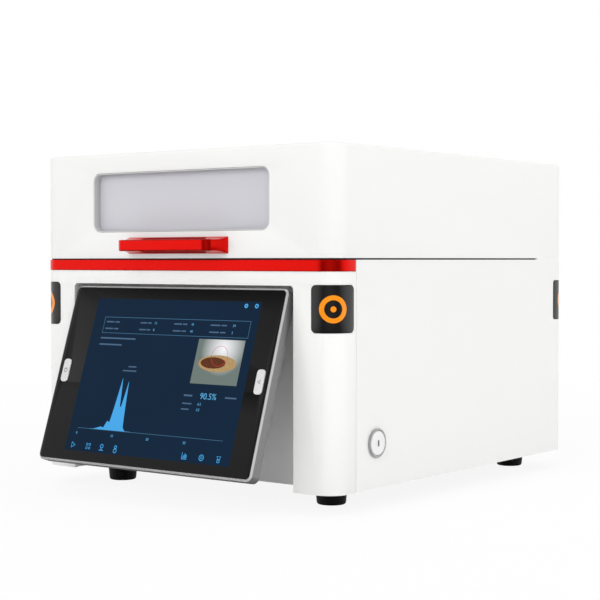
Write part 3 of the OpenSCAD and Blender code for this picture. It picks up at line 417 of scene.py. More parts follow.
# %% The finishes for metal
make_finish("zinc_sheet", (0.58, 0.59, 0.61), 0.85, (0.30, 0.46), metal=1.0,
            grain=(500.0, 0.08), drift=60.0)
make_finish("steel_screw", (0.52, 0.53, 0.55), 0.85, (0.22, 0.34), metal=1.0,
            grain=(900.0, 0.04))
make_finish("ring_steel", (0.50, 0.50, 0.505), 0.9, (0.16, 0.24), metal=1.0,
            grain=(900.0, 0.03), slot="display_rim")
make_finish("black_anodised", (0.03, 0.03, 0.034), 0.85, (0.32, 0.42), metal=0.6,
            grain=(2400.0, 0.05))
make_finish("bare_aluminium", (0.68, 0.69, 0.71), 0.9, (0.26, 0.38), metal=1.0,
            grain=(1400.0, 0.08), brushed=True)
make_finish("display_rim", (0.24, 0.24, 0.245), 0.95, (0.36, 0.44), metal=0.35,
            grain=(2600.0, 0.10))
make_finish("polished_edge", (0.84, 0.84, 0.85), 0.96, (0.14, 0.2), metal=0.45,
            grain=(1200.0, 0.03), slot="display_rim")
make_finish("brass", (0.62, 0.43, 0.16), 0.88, (0.2, 0.32), metal=1.0, grain=(1200.0, 0.04))
make_finish("chrome_can", (0.72, 0.73, 0.75), 0.92, (0.12, 0.22), metal=1.0, grain=(700.0, 0.02))
print(len(finishes), "finishes with metal")

# %% The finishes for electrics, glass and keys
make_finish("grey_case", (0.16, 0.165, 0.175), 0.9, (0.45, 0.55), grain=(1600.0, 0.1))
make_finish("circuit_board", (0.015, 0.13, 0.05), 0.7, (0.25, 0.4), grain=(700.0, 0.08),
            drift=220.0)
make_finish("black_plastic", (0.018, 0.018, 0.020), 0.8, (0.4, 0.52), grain=(1600.0, 0.15))
make_finish("amber_case", (0.72, 0.36, 0.03), 0.93, (0.35, 0.45), grain=(1500.0, 0.05))
make_finish("black_glass", (0.008, 0.008, 0.008), 0.9, (0.10, 0.16), gloss=0.14,
            grain=(40.0, 0.002))
make_finish("lcd_module", (0.05, 0.08, 0.15), 0.9, (0.3, 0.4))
make_finish("key_plastic", (0.70, 0.70, 0.70), 0.96, (0.34, 0.42), grain=(2000.0, 0.05))
make_finish("cap_white", (0.86, 0.86, 0.86), 0.97, (0.22, 0.3), grain=(1500.0, 0.02))
make_finish("mark_grey", (0.10, 0.10, 0.11), 0.9, (0.4, 0.5), slot="cap_white")
print(len(finishes), "finishes in all")

# %% [markdown]
# ## Tools of the bench
# Every new piece starts as a primitive at its size and place, and is shaped in edit mode. By
# hand, faces and edges are clicked. Here they are picked by where they lie and where they
# face, so the same lines still work when a size in the frame changes.

# %% Starting a block


def make_active(piece):
    """Only this piece selected and active."""
    clear_selection()
    piece.select_set(True)
    bpy.context.view_layer.objects.active = piece


def apply_place():
    """Moves the active piece's place, turn and scale into its mesh."""
    bpy.ops.object.transform_apply(location=True, rotation=True, scale=True)


def start_block(name, low, high):
    """A block between two corners, its place in its mesh."""
    low, high = Vector(low), Vector(high)
    clear_selection()
    bpy.ops.mesh.primitive_cube_add(size=1, location=(low + high) / 2)
    block = bpy.context.active_object
    block.name = block.data.name = name
    block.scale = high - low
    apply_place()
    return block


print("blocks ready")

# %% Picking a piece's edges and faces


def start_edit(piece, kind="FACE", action="DESELECT"):
    """Edit mode for one piece, with none or all of it selected."""
    make_active(piece)
    bpy.ops.object.mode_set(mode="EDIT")
    bpy.ops.mesh.select_mode(type=kind)
    bpy.ops.mesh.select_all(action=action)
    return bmesh.from_edit_mesh(piece.data)


def leave_edit():
    """Back to object mode."""
    bpy.ops.object.mode_set(mode="OBJECT")


def pick_edges(piece, wanted):
    """Edit mode, with only the edges selected whose middle and direction are wanted."""
    mesh = start_edit(piece, "EDGE")
    for edge in mesh.edges:
        first, second = edge.verts[0].co, edge.verts[1].co
        if wanted((first + second) / 2, (second - first).normalized()):
            edge.select_set(True)
    bmesh.update_edit_mesh(piece.data)


def pick_faces(piece, wanted):
    """Edit mode, with only the faces selected whose middle and normal are wanted."""
    mesh = start_edit(piece)
    for face in mesh.faces:
        if wanted(face.calc_center_median(), face.normal):
            face.select_set(True)
    bmesh.update_edit_mesh(piece.data)


print("picking tools ready")

# %% [markdown]
# Three steps come back in nearly every piece: edges are beveled to a radius, faces are opened,
# and a modifier is added and applied at once. Modifiers left live would keep a piece editable,
# but the next boolean needs the finished mesh.

# %% Rounding, opening, modifiers and cutters


def round_edges(piece, wanted, radius, steps):
    """Bevels the wanted edges to a radius."""
    pick_edges(piece, wanted)
    bpy.ops.mesh.bevel(offset=radius, offset_type="OFFSET", segments=steps, profile=0.5,
                       clamp_overlap=False)
    leave_edit()


def round_block(name, low, high, radius, axis, steps=8):
    """A block whose four edges along X, Y or Z are rounded."""
    block = start_block(name, low, high)
    number = "XYZ".index(axis)
    round_edges(block, lambda middle, way: abs(way[number]) > FACING, radius, steps)
    return block


def open_faces(piece, wanted):
    """Deletes the wanted faces."""
    pick_faces(piece, wanted)
    bpy.ops.mesh.delete(type="FACE")
    leave_edit()


def work(piece, kind, **settings):
    """Adds a modifier with these settings and applies it."""
    make_active(piece)
    modifier = piece.modifiers.new(kind.lower(), kind)
    for setting, value in settings.items():
        setattr(modifier, setting, value)
    bpy.ops.object.modifier_apply(modifier=modifier.name)


def cut_away(piece, cutter, operation="DIFFERENCE"):
    """Takes the cutter's volume out of the piece, and the cutter out of the scene."""
    work(piece, "BOOLEAN", operation=operation, object=cutter, solver="EXACT")
    bpy.data.objects.remove(cutter)


def push(shift):
    """Extrudes what is selected along a shift."""
    bpy.ops.mesh.extrude_region_move(TRANSFORM_OT_translate={"value": shift})


print("shaping tools ready")

# %% [markdown]
# Each piece ends the same way. A small bevel breaks its sharp edges, because real edges catch
# a line of light. Then it is shaded, gets its finish and slot, and rides on its body of the
# frame, so that it moves with the joints and stands in for the plain node.

# %% Finishing and mounting a piece
EDGE_ANGLE = math.radians(30)
SMOOTH_ANGLE = math.radians(35)


def finish_piece(piece, body, material, nodes=(), edge=0.0, steps=2):
    """Softens the sharp edges, shades, paints and mounts a piece on its body."""
    if edge:
        work(piece, "BEVEL", width=edge, segments=steps, limit_method="ANGLE",
             angle_limit=EDGE_ANGLE)
    make_active(piece)
    bpy.ops.object.shade_smooth_by_angle(angle=SMOOTH_ANGLE)
    if not piece.data.materials:
        piece.data.materials.append(material)
    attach(piece, body)
    if nodes:
        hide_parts(*nodes)
    print(piece.name, len(piece.data.polygons), "faces on", body)


print("mounting tool ready")

# %% [markdown]
# ## Lid
# The lid is one moulded shell with round upright corners and a small radius round its roof. It
# could be extruded from a plan outline, but a block whose edges are beveled twice gives the
# same form with the least work: first the four uprights, then the loop round the roof. Its
# underside is deleted, and the wall gets its thickness inwards.

# %% Lid shell: a block, rounded and hollowed
lid_wall = 3 * MM
roof_radius = 2.5 * MM
ROOF_STEPS = 5

lid_shell = round_block("lid_shell_moulded", (-half_width, front_y, lid_low.z),
                        (half_width, casing_high.y, lid_high.z), corner_radius, "Z", ROUND_STEPS)
round_edges(lid_shell, lambda middle, way: middle.z > lid_high.z - TINY, roof_radius, ROOF_STEPS)
open_faces(lid_shell, lambda middle, normal: normal.z < -FACING)
work(lid_shell, "SOLIDIFY", thickness=lid_wall, offset=-1, use_even_offset=True)
print("lid wall", lid_wall, "with", len(lid_shell.data.polygons), "faces")

# %% [markdown]
# The lid's rim ends a little above the strip, and only the rear zone reaches lower, down to
# the hinges. The window is a rounded hole in the front wall. Both are cut by plain cutters,
# which is easier to change later than a rim modelled face by face.

# %% Lid shell: the rim and the window's hole
rim_gap = 1.5 * MM
rear_zone = 64 * MM
cutter_half_width = 1000 * MM
window_low, window_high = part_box("window_frame")
window_half = Vector((217, 57)) * MM / 2
window_middle = (window_low.z + window_high.z) / 2
window_radius = 8.5 * MM
WINDOW_STEPS = 10


def window_block(name, grow, front, back):
    """A rounded block the size of the window, grown, between two depths."""
    half = window_half + Vector((grow, grow))
    return round_block(name, (-half.x, front, window_middle - half.y),
                       (half.x, back, window_middle + half.y), window_radius + grow, "Y",
                       WINDOW_STEPS)


cut_away(lid_shell, start_block("rim_cutter",
                                (-cutter_half_width, front_y - BEYOND, lid_low.z - BEYOND),
                                (cutter_half_width, casing_high.y - rear_zone,
                                 fascia_high.z + rim_gap)))
cut_away(lid_shell, window_block("window_cutter", 0, front_y - BEYOND, front_y + BEYOND))
finish_piece(lid_shell, "lid", finishes["white_fascia"], ["lid_shell"], edge=0.35 * MM)

# %% [markdown]
# The window's grey frame fills the cut, with a lip that is a little narrower than the hole
# and a flange behind the wall. Two blocks could be joined, but one block leaves no inner
# faces: it starts as the flange, its front face is inset and extruded to make the lip, and
# the hole is cut through both.

# %% Window frame
frame_lip = 1.3 * MM
frame_lap = 5.5 * MM
frame_fit = 0.2 * MM

window_frame = window_block("window_frame_moulded", frame_lap, front_y + lid_wall, window_high.y)
pick_faces(window_frame, lambda middle, normal: normal.y < -FACING)
bpy.ops.mesh.inset(thickness=frame_lap + frame_fit)
push((0, window_low.y - front_y - lid_wall, 0))
leave_edit()
cut_away(window_frame, window_block("window_hole", -frame_lip, front_y - BEYOND,
                                    window_high.y + BEYOND))
finish_piece(window_frame, "lid", finishes["window_grey"], ["window_frame"], edge=0.25 * MM)

# %% [markdown]
# The pane is thick shielding glass, which looks milky grey from outside. It lies behind the
# frame, so that its edge stays in the frame's shade. Clear glass would show the dark chamber,
# so most of its colour stays and only a small share of the light goes through.

# %% Window pane
pane_lap = 3 * MM
glass_low, glass_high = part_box("viewing_window")

shield_glass, glass_tree, glass_shader = start_finish(
    "lead_glass", "lead_glass", Roughness=0.22, Transmission_Weight=0.16, IOR=1.6)
glass_drift = place_group(glass_tree, drift_group, 6.0)
feed(glass_tree, mix_colours(glass_tree, glass_drift, (0.74, 0.74, 0.79), (0.71, 0.71, 0.76)),
     glass_shader["Base Color"])
pane = window_block("window_pane", pane_lap, glass_low.y, glass_high.y)
finish_piece(pane, "lid", shield_glass, ["viewing_window"], edge=0.4 * MM)

# %% [markdown]
# ## Handle
# The pull is a thick bow: its front bar is straight, its ends are round seen from above, and
# toward the lid it flares up and down in a hollow curve. That is a loft along one axis. It
# could be a Bezier shape, but here a thin block at the lid has its front face extruded forward
# step by step, each step scaled to what two short curves give.

# %% Pull handle: extruded and scaled along its depth
handle_low, handle_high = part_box("pull_handle")
handle_middle = (handle_low.z + handle_high.z) / 2
reach = front_y - handle_low.y
foot_half = (handle_high.z - handle_low.z) / 2
bar_half = 5.1 * MM
flare_reach = 12 * MM
foot_half_width = handle_high.x
tip_half_width = 109.4 / 2 * MM
straight_foot = 3 * MM
start_depth = 0.4 * MM
stations = [2 * MM * number for number in range(1, 7)] + [reach * 0.7, reach]


def flare_half(out):
    """Half the handle's height at a distance out from the lid."""
    share = max(0.0, 1 - out / flare_reach)
    return bar_half + (foot_half - bar_half) * share ** 2


def plan_half(out):
    """Half the handle's length at a distance out from the lid."""
    share = max(0.0, (out - straight_foot) / (reach - straight_foot))
    return foot_half_width + (tip_half_width - foot_half_width) * share


handle = start_block("pull_handle_moulded", (-foot_half_width, front_y - start_depth, handle_low.z),
                     (foot_half_width, front_y, handle_high.z))
last = start_depth
for station in stations:
    pick_faces(handle, lambda middle, normal: normal.y < -FACING
               and middle.y < front_y - last + TINY)
    push((0, last - station, 0))
    bpy.ops.transform.resize(value=(plan_half(station) / plan_half(last), 1,
                                    flare_half(station) / flare_half(last)),
                             center_override=(0, front_y - station, handle_middle))
    leave_edit()
    last = station
print("handle", len(handle.data.polygons), "faces after", len(stations), "steps")

# %% [markdown]
# The bow's two front corners get a large radius and all its long rims a small one. The finger
# gap is cut last and leaves a thin wall on the lid's side, which the screws hold. Inside
# the gap the red is matt and painted much darker, as painted shade where the bar shades the
# gap, so two finishes are put on one piece, face by face.

# %% Pull handle: rims, finger gap and the matt red with painted shade inside it
corner_round = 6 * MM
rim_round = 1.2 * MM
bow_depth = 9 * MM
mount_wall = 1.5 * MM
gap_half = 39 * MM
gap_radius = 5 * MM
gap_front, gap_back = handle_low.y + bow_depth, front_y - mount_wall


def in_front(middle):
    """Whether an edge lies in the handle's front face."""
    return middle.y < handle_low.y + TINY


def on_rim(middle, way):
    """The front face's outline and the long edges at both ends, but no upright edge."""
    at_an_end = abs(middle.x) > corner_round and middle.y < front_y - start_depth - TINY
    return abs(way.z) < FACING and (in_front(middle) or at_an_end)


def in_gap(middle, normal):
    """The walls of the finger gap."""
    return (abs(middle.x) < gap_half + TINY and abs(normal.z) < 0.5
            and gap_front - TINY < middle.y < gap_back + TINY)


def two_finishes(piece, main, other, wanted):
    """Gives a piece its main finish, and the wanted faces another one."""
    piece.data.materials.append(main)
    piece.data.materials.append(other)
    pick_faces(piece, wanted)
    piece.active_material_index = 1
    bpy.ops.object.material_slot_assign()
    leave_edit()


round_edges(handle, lambda middle, way: abs(way.z) > FACING and in_front(middle), corner_round, 10)
round_edges(handle, on_rim, rim_round, 3)
cut_away(handle, round_block("finger_gap", (-gap_half, gap_front, handle_low.z - BEYOND),
                             (gap_half, gap_back, handle_high.z + BEYOND), gap_radius, "Z"))
# The gap's walls get the darker matt red, which is painted shade
two_finishes(handle, finishes["red_gloss"], finishes["red_matt_painted_shade"], in_gap)
finish_piece(handle, "lid", finishes["red_gloss"], ["pull_handle"], edge=0.3 * MM)

# %% [markdown]
# ## Lower cabinet
# The front is a moulded wrap that reaches round both corners. It could be bent from a flat
# strip, but it is made like the lid: a block with two rounded uprights, its back, top and
# bottom deleted, and a wall grown inwards. The opening for the display and the strip's step
# are cut out. The step's cutter is a thicker wrap of the same kind.

# %% Front fascia: a wrap with its opening and the strip's step
fascia_wall = 3.5 * MM
opening_half = 135 * MM
opening_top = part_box("display_recess")[1].z - 2 * MM
opening_radius = 4 * MM
opening_depth = fascia_wall + 0.1 * MM
strip_low, strip_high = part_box("accent_strip")
strip_proud = 0.6 * MM
strip_wall = 2.2 * MM
pocket_fit = 0.2 * MM


def front_wrap(name, proud, back_y, low_z, high_z, wall):
    """A band that follows the front and both corners of the cabinet."""
    wrap = start_block(name, (-half_width - proud, front_y - proud, low_z),
                       (half_width + proud, back_y, high_z))
    round_edges(wrap, lambda middle, way: abs(way.z) > FACING and middle.y < front_y + MM,
                corner_radius + proud, ROUND_STEPS)
    open_faces(wrap, lambda middle, normal: normal.y > FACING or abs(normal.z) > FACING)
    work(wrap, "SOLIDIFY", thickness=wall, offset=-1, use_even_offset=True)
    return wrap


fascia = front_wrap("front_fascia_moulded", 0, fascia_high.y, fascia_low.z, fascia_high.z,
                    fascia_wall)
cut_away(fascia, round_block("opening_cutter",
                             (-opening_half, front_y - 2 * BEYOND, fascia_low.z - 2 * BEYOND),
                             (opening_half, front_y + opening_depth, opening_top),
                             opening_radius, "Y"))
cut_away(fascia, front_wrap("strip_pocket", BEYOND, strip_high.y + pocket_fit,
                            strip_low.z - pocket_fit, strip_high.z + BEYOND,
                            BEYOND + strip_wall - strip_proud))
print("fascia", len(fascia.data.polygons), "faces with its opening")

# %% [markdown]
# The corner plates lie in shallow pockets. A pocket's outline is rounded both in the front
# view and in the side view, so two rounded blocks are crossed and only what they share is
# kept. A skin of the cabinet's own curve then limits it to the pocket's depth.

# %% Front fascia: the outline of a corner plate
plate_low, plate_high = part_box("corner_plates")
plate_across = 25.5 * MM
plate_along = 28 * MM
plate_radius = 4.6 * MM
plate_wall = 1.2 * MM
plate_proud = 0.2 * MM
block_end = 45 * MM
skin_end = 50 * MM
PLATE_STEPS = 6


def keep_inside(piece, cutter):
    """Keeps only what lies inside the cutter."""
    cut_away(piece, cutter, "INTERSECT")


def plate_block(name, side, grow=0.0):
    """The rounded outline of a front corner plate, seen from the front and from the side."""
    low_z, high_z = plate_low.z - grow, plate_high.z + grow
    inner_x, inner_y = half_width - plate_across - grow, front_y + plate_along + grow
    block = round_block(name, (inner_x, front_y - 2 * BEYOND, low_z),
                        (half_width + 4 * BEYOND, front_y + block_end, high_z),
                        plate_radius, "Y", PLATE_STEPS)
    keep_inside(block, round_block("plate_side", (0, front_y - 4 * BEYOND, low_z),
                                   (half_width + 6 * BEYOND, inner_y, high_z),
                                   plate_radius, "X", PLATE_STEPS))
    if side < 0:
        make_active(block)
        bpy.ops.transform.mirror(constraint_axis=(True, False, False),
                                 center_override=(0, middle_y, 0))
        apply_place()
        start_edit(block, action="SELECT")
        bpy.ops.mesh.normals_make_consistent(inside=False)
        leave_edit()
    return block


print("plates reach", plate_across, "across and", plate_along, "along")

# %% Front fascia: its two pockets
for side in (-1, 1):
    pocket = plate_block("plate_pocket", side, pocket_fit)
    keep_inside(pocket, front_wrap("pocket_skin", 3 * BEYOND, front_y + skin_end,
                                   plate_low.z - BEYOND, plate_high.z + BEYOND,
                                   3 * BEYOND + plate_wall - plate_proud))
    cut_away(fascia, pocket)
finish_piece(fascia, "cabinet", finishes["white_fascia"], ["front_fascia"], edge=0.3 * MM)

# %% [markdown]
# The red strip lies in the fascia's step and stands proud by 0.6 mm, so it catches its own
# line of light. A painted line would stay flat, so it is the same wrap, thinner and lower.

# %% Accent strip
strip = front_wrap("accent_strip_moulded", strip_proud, strip_high.y, strip_low.z, strip_high.z,
                   strip_wall)
finish_piece(strip, "cabinet", finishes["red_gloss"], ["accent_strip"], edge=0.6 * MM, steps=3)

# %% [markdown]
# Four dark plates wrap the upright corners, each printed with a plain amber ring and dot. The
# print could be a thin mesh bent round the corner, but a pattern in the finish follows the
# curve by itself. It is worked out from the distance to the plate's middle, as seen from the
# corner's diagonal, and the same sum serves all four corners.

# %% Finish of the corner plates: gloss black with a printed amber ring
plate_middle_z = (plate_low.z + plate_high.z) / 2
corner_x = half_width - corner_radius
corner_y = casing_high.y - corner_radius - middle_y
AMBER = (1.0, 0.29, 0.004)
ring_middle, ring_half_line, dot_radius = 10 * MM, 2.1 * MM, 2.6 * MM

plate_finish = make_finish("dark_plate", (0.012, 0.012, 0.012), 0.9, (0.16, 0.2), gloss=0.45,
                           grain=(1500.0, 0.02))
plate_tree = plate_finish.node_tree


def plate_math(operation, *values):
    """A Math node in the plates' finish."""
    return math_node(plate_tree, operation, *values)


plate_place = plate_tree.nodes.new("ShaderNodeTexCoord")
plate_axes = plate_tree.nodes.new("ShaderNodeSeparateXYZ")
feed(plate_tree, plate_place.outputs["Object"], plate_axes.inputs[0])
from_middle = plate_math("SUBTRACT", plate_axes.outputs["Y"], middle_y)
from_x = plate_math("SUBTRACT", plate_math("ABSOLUTE", plate_axes.outputs["X"]), corner_x)
from_y = plate_math("SUBTRACT", plate_math("ABSOLUTE", from_middle), corner_y)
across = plate_math("MULTIPLY", plate_math("SUBTRACT", from_x, from_y), math.sqrt(0.5))
upward = plate_math("SUBTRACT", plate_axes.outputs["Z"], plate_middle_z)
away = plate_math("SQRT", plate_math("ADD", plate_math("MULTIPLY", across, across),
                                     plate_math("MULTIPLY", upward, upward)))
ring_mark = plate_math("COMPARE", away, ring_middle, ring_half_line)
plate_mark = plate_math("MAXIMUM", ring_mark, plate_math("LESS_THAN", away, dot_radius))
plate_colour = plate_tree.nodes["Principled BSDF"].inputs["Base Color"]
printed = mix_colours(plate_tree, plate_mark, plate_colour.links[0].from_socket, AMBER)
feed(plate_tree, printed, plate_colour)
print("plate ring", ring_middle, "from its middle")

# %% [markdown]
# One plate is cut from the wrap by its rounded outline. The others are mirrored copies with
# their own mesh. Mirroring in one direction turns the faces inside out, so those are turned
# back.

# %% Corner plates: one cut from a wrap, three mirrored copies
plate_back = 40 * MM


def copy_piece(piece, name):
    """A copy with its own mesh."""
    twin = piece.copy()
    twin.data = piece.data.copy()
    twin.name = twin.data.name = name
    bpy.context.scene.collection.objects.link(twin)
    return twin


def mirrored(piece, name, side, end):
    """A copy on the other side or at the other end, its faces turned outwards again."""
    twin = copy_piece(piece, name)
    start_edit(twin, action="SELECT")
    bpy.ops.transform.resize(value=(side, -end, 1), center_override=(0, middle_y, 0))
    if side * end > 0:
        bpy.ops.mesh.flip_normals()
    leave_edit()
    return twin


first_plate = front_wrap("corner_plate_front_right", plate_proud, front_y + plate_back,
                         plate_low.z, plate_high.z, plate_wall)
keep_inside(first_plate, plate_block("plate_outline", 1))
plates = [first_plate, mirrored(first_plate, "corner_plate_front_left", -1, -1),
          mirrored(first_plate, "corner_plate_rear_right", 1, 1),
          mirrored(first_plate, "corner_plate_rear_left", -1, 1)]
for plate in plates:
    finish_piece(plate, "cabinet", plate_finish,
                 ["corner_plates"] if plate is first_plate else (), edge=0.2 * MM)

# %% [markdown]
# ## Feet
# Each foot is a turned rubber buffer: a short cone, wide at the top, its floor edge well
# rounded, with a sunk hole for its screw. A spun outline would give it too, but a cone needs
# only an inset, an extrude and one bevel. One is modelled and three are copied.

# %% Rubber feet: one turned buffer
feet_low, feet_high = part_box("rubber_feet")
foot_top_radius = 15 * MM
foot_floor_radius = 13.3 * MM
screw_hole_radius = 5 * MM
screw_hole_depth = 6 * MM
floor_round = 2 * MM
foot_x = feet_high.x - foot_top_radius
front_foot_y, rear_foot_y = feet_low.y + foot_top_radius, feet_high.y - foot_top_radius
foot_middle = Vector((foot_x, front_foot_y))


def start_round(name, centre, radius, depth, axis="Z", sides=64, top_radius=None):
    """A rod or cone about a centre, lying along X, Y or Z."""
    turn = {"X": (0, math.pi / 2, 0), "Y": (-math.pi / 2, 0, 0), "Z": (0, 0, 0)}[axis]
    clear_selection()
    bpy.ops.mesh.primitive_cone_add(vertices=sides, radius1=radius, depth=depth, location=centre,
                                    radius2=radius if top_radius is None else top_radius,
                                    rotation=turn)
    rod = bpy.context.active_object
    rod.name = rod.data.name = name
    apply_place()
    return rod


def on_floor_rim(middle, way):
    """The foot's outer edge on the floor, and not the edge of its hole."""
    return middle.z < TINY and (middle.xy - foot_middle).length > 2 * screw_hole_radius


foot = start_round("foot_front_right", (foot_x, front_foot_y, feet_high.z / 2),
                   foot_floor_radius, feet_high.z, top_radius=foot_top_radius)
pick_faces(foot, lambda middle, normal: normal.z < -FACING)
bpy.ops.mesh.inset(thickness=foot_floor_radius - screw_hole_radius)
push((0, 0, screw_hole_depth))
leave_edit()
round_edges(foot, on_floor_rim, floor_round, 4)
print("foot", len(foot.data.polygons), "faces")

# %% Rubber feet: three copies with their own mesh
feet = [foot]
for name, side, foot_y in (("foot_front_left", -1, front_foot_y),
                           ("foot_rear_left", -1, rear_foot_y),
                           ("foot_rear_right", 1, rear_foot_y)):
    twin = copy_piece(foot, name)
    start_edit(twin, action="SELECT")
    bpy.ops.transform.translate(value=((side - 1) * foot_x, foot_y - front_foot_y, 0))
    leave_edit()
    feet.append(twin)
for twin in feet:
    finish_piece(twin, "cabinet", finishes["rubber"], ["rubber_feet"] if twin is foot else ())

# %% [markdown]
# ## Push button
# The side button is a steel ring with a white cap in it. Both are turned parts: a rod gets
# its steps by inset and extrude, and its rims by bevel, as a lathe would cut them. The cap
# is slightly domed and carries a short grey line.

# %% Button ring
ring_low, ring_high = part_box("button_ring")
cap_low, cap_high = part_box("button_cap")
button_y = (ring_low.y + ring_high.y) / 2
button_z = (ring_low.z + ring_high.z) / 2
ring_radius = (ring_high.z - ring_low.z) / 2
cap_radius = (cap_high.z - cap_low.z) / 2
cap_gap = 0.3 * MM
bore_depth = 8 * MM

ring = start_round("button_ring_turned", ((half_width + ring_high.x) / 2, button_y, button_z),
                   ring_radius, ring_high.x - half_width, "X")
pick_faces(ring, lambda middle, normal: normal.x > FACING)
bpy.ops.mesh.inset(thickness=ring_radius - cap_radius - cap_gap)
push((-bore_depth, 0, 0))
leave_edit()
finish_piece(ring, "cabinet", finishes["ring_steel"], ["button_ring"], edge=0.3 * MM, steps=3)

# %% Button cap: two insets raise its dome
cap_proud = 0.3 * MM
cap_length = 6 * MM
cap_face = ring_high.x + cap_proud
# How far each inset draws in, as a share of the radius, and how far it is lifted
dome_rings = ((0.4, 0.12 * MM), (0.3, 0.06 * MM))

cap = start_round("button_cap_turned", (cap_face - cap_length / 2, button_y, button_z),
                  cap_radius, cap_length, "X")
pick_faces(cap, lambda middle, normal: normal.x > FACING)
for inset_share, lift in dome_rings:
    bpy.ops.mesh.inset(thickness=cap_radius * inset_share)
    bpy.ops.transform.translate(value=(lift, 0, 0))
leave_edit()
finish_piece(cap, "side_button", finishes["cap_white"], ["button_cap"], edge=0.5 * MM, steps=3)

# %% Button cap: its printed line
line_half = Vector((0.05, 1.2, 2.8)) * MM
line_lift = 0.17 * MM
line_radius = 0.6 * MM
line_middle = Vector((cap_face + line_lift, button_y, button_z))
cap_line = round_block("button_line", line_middle - line_half, line_middle + line_half,
                       line_radius, "X", 4)
finish_piece(cap_line, "side_button", finishes["mark_grey"])

# %% [markdown]
# ## Display
# The display is a tablet-like unit that hinges near its top edge. Its pieces could be built
# where they stand, but a leaning drawing makes every size a sum of sines. It is easier to draw
# it flat, as it would lie on the maker's bench: x across, y into its thickness, z up its face,
# with the origin at the middle of its top front edge. One function then leans each piece.

# %% The display's drawing and how it leans into place
display_size = Vector((260.6, 13.0, 173.0)) * MM
display_lean = math.radians(18.4)
display_gap = 2.2 * MM
display_top = Vector((0, front_y, opening_top - display_gap))
display_round = 6 * MM
pane_depth = 1.8 * MM
SLAB_STEPS = 10


def flat_slab(name, inset, near, far, radius):
    """A rounded slab in the display's flat drawing, drawn in from its outline."""
    half = display_size.x / 2 - inset
    return round_block(name, (-half, near, inset - display_size.z), (half, far, -inset), radius,
                       "Y", SLAB_STEPS)


def lean_into_place(piece):
    """From the flat drawing to the display's place, kept in the mesh."""
    make_active(piece)
    piece.rotation_euler = (-display_lean, 0, 0)
    piece.location = display_top
    apply_place()
    return piece


print("display leans", round(math.degrees(display_lean), 1), "degrees")

# %% [markdown]
# Its frame is milled aluminium. The front corner is cut as one bright flat bevel, and the rear
# corner is softly rounded in four steps. The bevel's faces get their own polished finish before
# the pockets are cut, because they are easiest to pick while the slab is still plain.

# %% Display frame: rounded slab, bright front bevel, three pockets
bright_bevel = 1.5 * MM
rear_round = 2.0 * MM
rim_width = 2.0 * MM
frame_wall = 3.5 * MM
glass_bed = 0.2 * MM
inner_radius = 2.5 * MM
back_wall = 2.0 * MM
back_inset = 6.0 * MM
back_radius = 2.0 * MM

display_frame = flat_slab("display_frame_milled", 0, 0, display_size.y, display_round)
round_edges(display_frame, lambda middle, way: middle.y < TINY, bright_bevel, 1)
round_edges(display_frame, lambda middle, way: middle.y > display_size.y - TINY, rear_round, 4)
two_finishes(display_frame, finishes["display_rim"], finishes["polished_edge"],
             lambda middle, normal: -0.95 < normal.y < -0.3)
cut_away(display_frame, flat_slab("glass_pocket", rim_width, -BEYOND, pane_depth + glass_bed,
                                  display_round - rim_width))
cut_away(display_frame, flat_slab("inner_pocket", frame_wall, 0, display_size.y - back_wall,
                                  inner_radius))
cut_away(display_frame, flat_slab("back_opening", back_inset, 0, display_size.y + BEYOND,
                                  back_radius))
lean_into_place(display_frame)
finish_piece(display_frame, "display", finishes["display_rim"], ["display_frame"],
             edge=0.12 * MM)

# %% [markdown]
# The front glass is one black sheet, flush with the frame, with two slots for the keys. The
# picture behind real glass looks as if it lies on its face. Clear glass over a deep picture
# would need many light bounces, so a thin lit sheet is laid on the glass instead, and the
# drawing on it is laid on that.

# %% Front glass and its key slots
glass_fit = 0.2 * MM
key_x = 119 * MM
key_down = 85.5 * MM
key_half = Vector((9.0, 22.5)) * MM / 2
key_radius = 3.2 * MM
key_gap = 0.3 * MM


def key_block(name, side, near, far, grow=0.0):
    """The outline of a key in the flat drawing."""
    half = key_half + Vector((grow, grow))
    return round_block(name, (side * key_x - half.x, near, -key_down - half.y),
                       (side * key_x + half.x, far, -key_down + half.y), key_radius + grow, "Y")


glass = flat_slab("display_glass_sheet", rim_width + glass_fit, 0, pane_depth,
                  display_round - rim_width)
for side in (-1, 1):
    cut_away(glass, key_block("key_slot", side, -BEYOND, BEYOND, key_gap))
lean_into_place(glass)
finish_piece(glass, "display", finishes["black_glass"], ["display_glass"], edge=0.15 * MM)

# %% [markdown]
# The two keys are moulded caps with a soft edge and a printed sign: a power sign on the left
# and a start triangle on the right. A sign could be drawn in the finish, but as a thin raised
# print it is cut from rods and bars, stays sharp, and rides with its key.

# %% Key caps
key_proud = 0.8 * MM
key_depth = 3.0 * MM

for side, node in ((-1, "power_key"), (1, "start_key")):
    key = key_block(node + "_cap", side, -key_proud, key_depth)
    lean_into_place(key)
    finish_piece(key, node, finishes["key_plastic"], [node], edge=0.45 * MM, steps=3)

# %% A kit for thin prints
ink = 0.04 * MM


def turn_flat(piece, u, v, turn):
    """Turns a print about a point of the flat drawing."""
    make_active(piece)
    piece.matrix_world = (Matrix.Translation((u, 0, -v)) @ Matrix.Rotation(turn, 4, "Y")
                          @ Matrix.Translation((-u, 0, v)))
    apply_place()


def ink_ring(name, u, v, radius, line, sides=32, turn=0.0, near=0.0):
    """A thin printed ring or polygon outline, u across and v down in the flat drawing."""
    centre = Vector((u, near - ink / 2, -v))
    outer = start_round(name, centre, radius, ink, "Y", sides)
    cut_away(outer, start_round("ring_hole", centre, radius - line, 4 * ink, "Y", sides))
    if turn:
        turn_flat(outer, u, v, turn)
    return outer


def ink_bar(name, left, right, top, bottom, near=0.0):
    """A thin printed bar, from left to right and from top to bottom."""
    return start_block(name, (left, near - ink, -bottom), (right, near, -top))


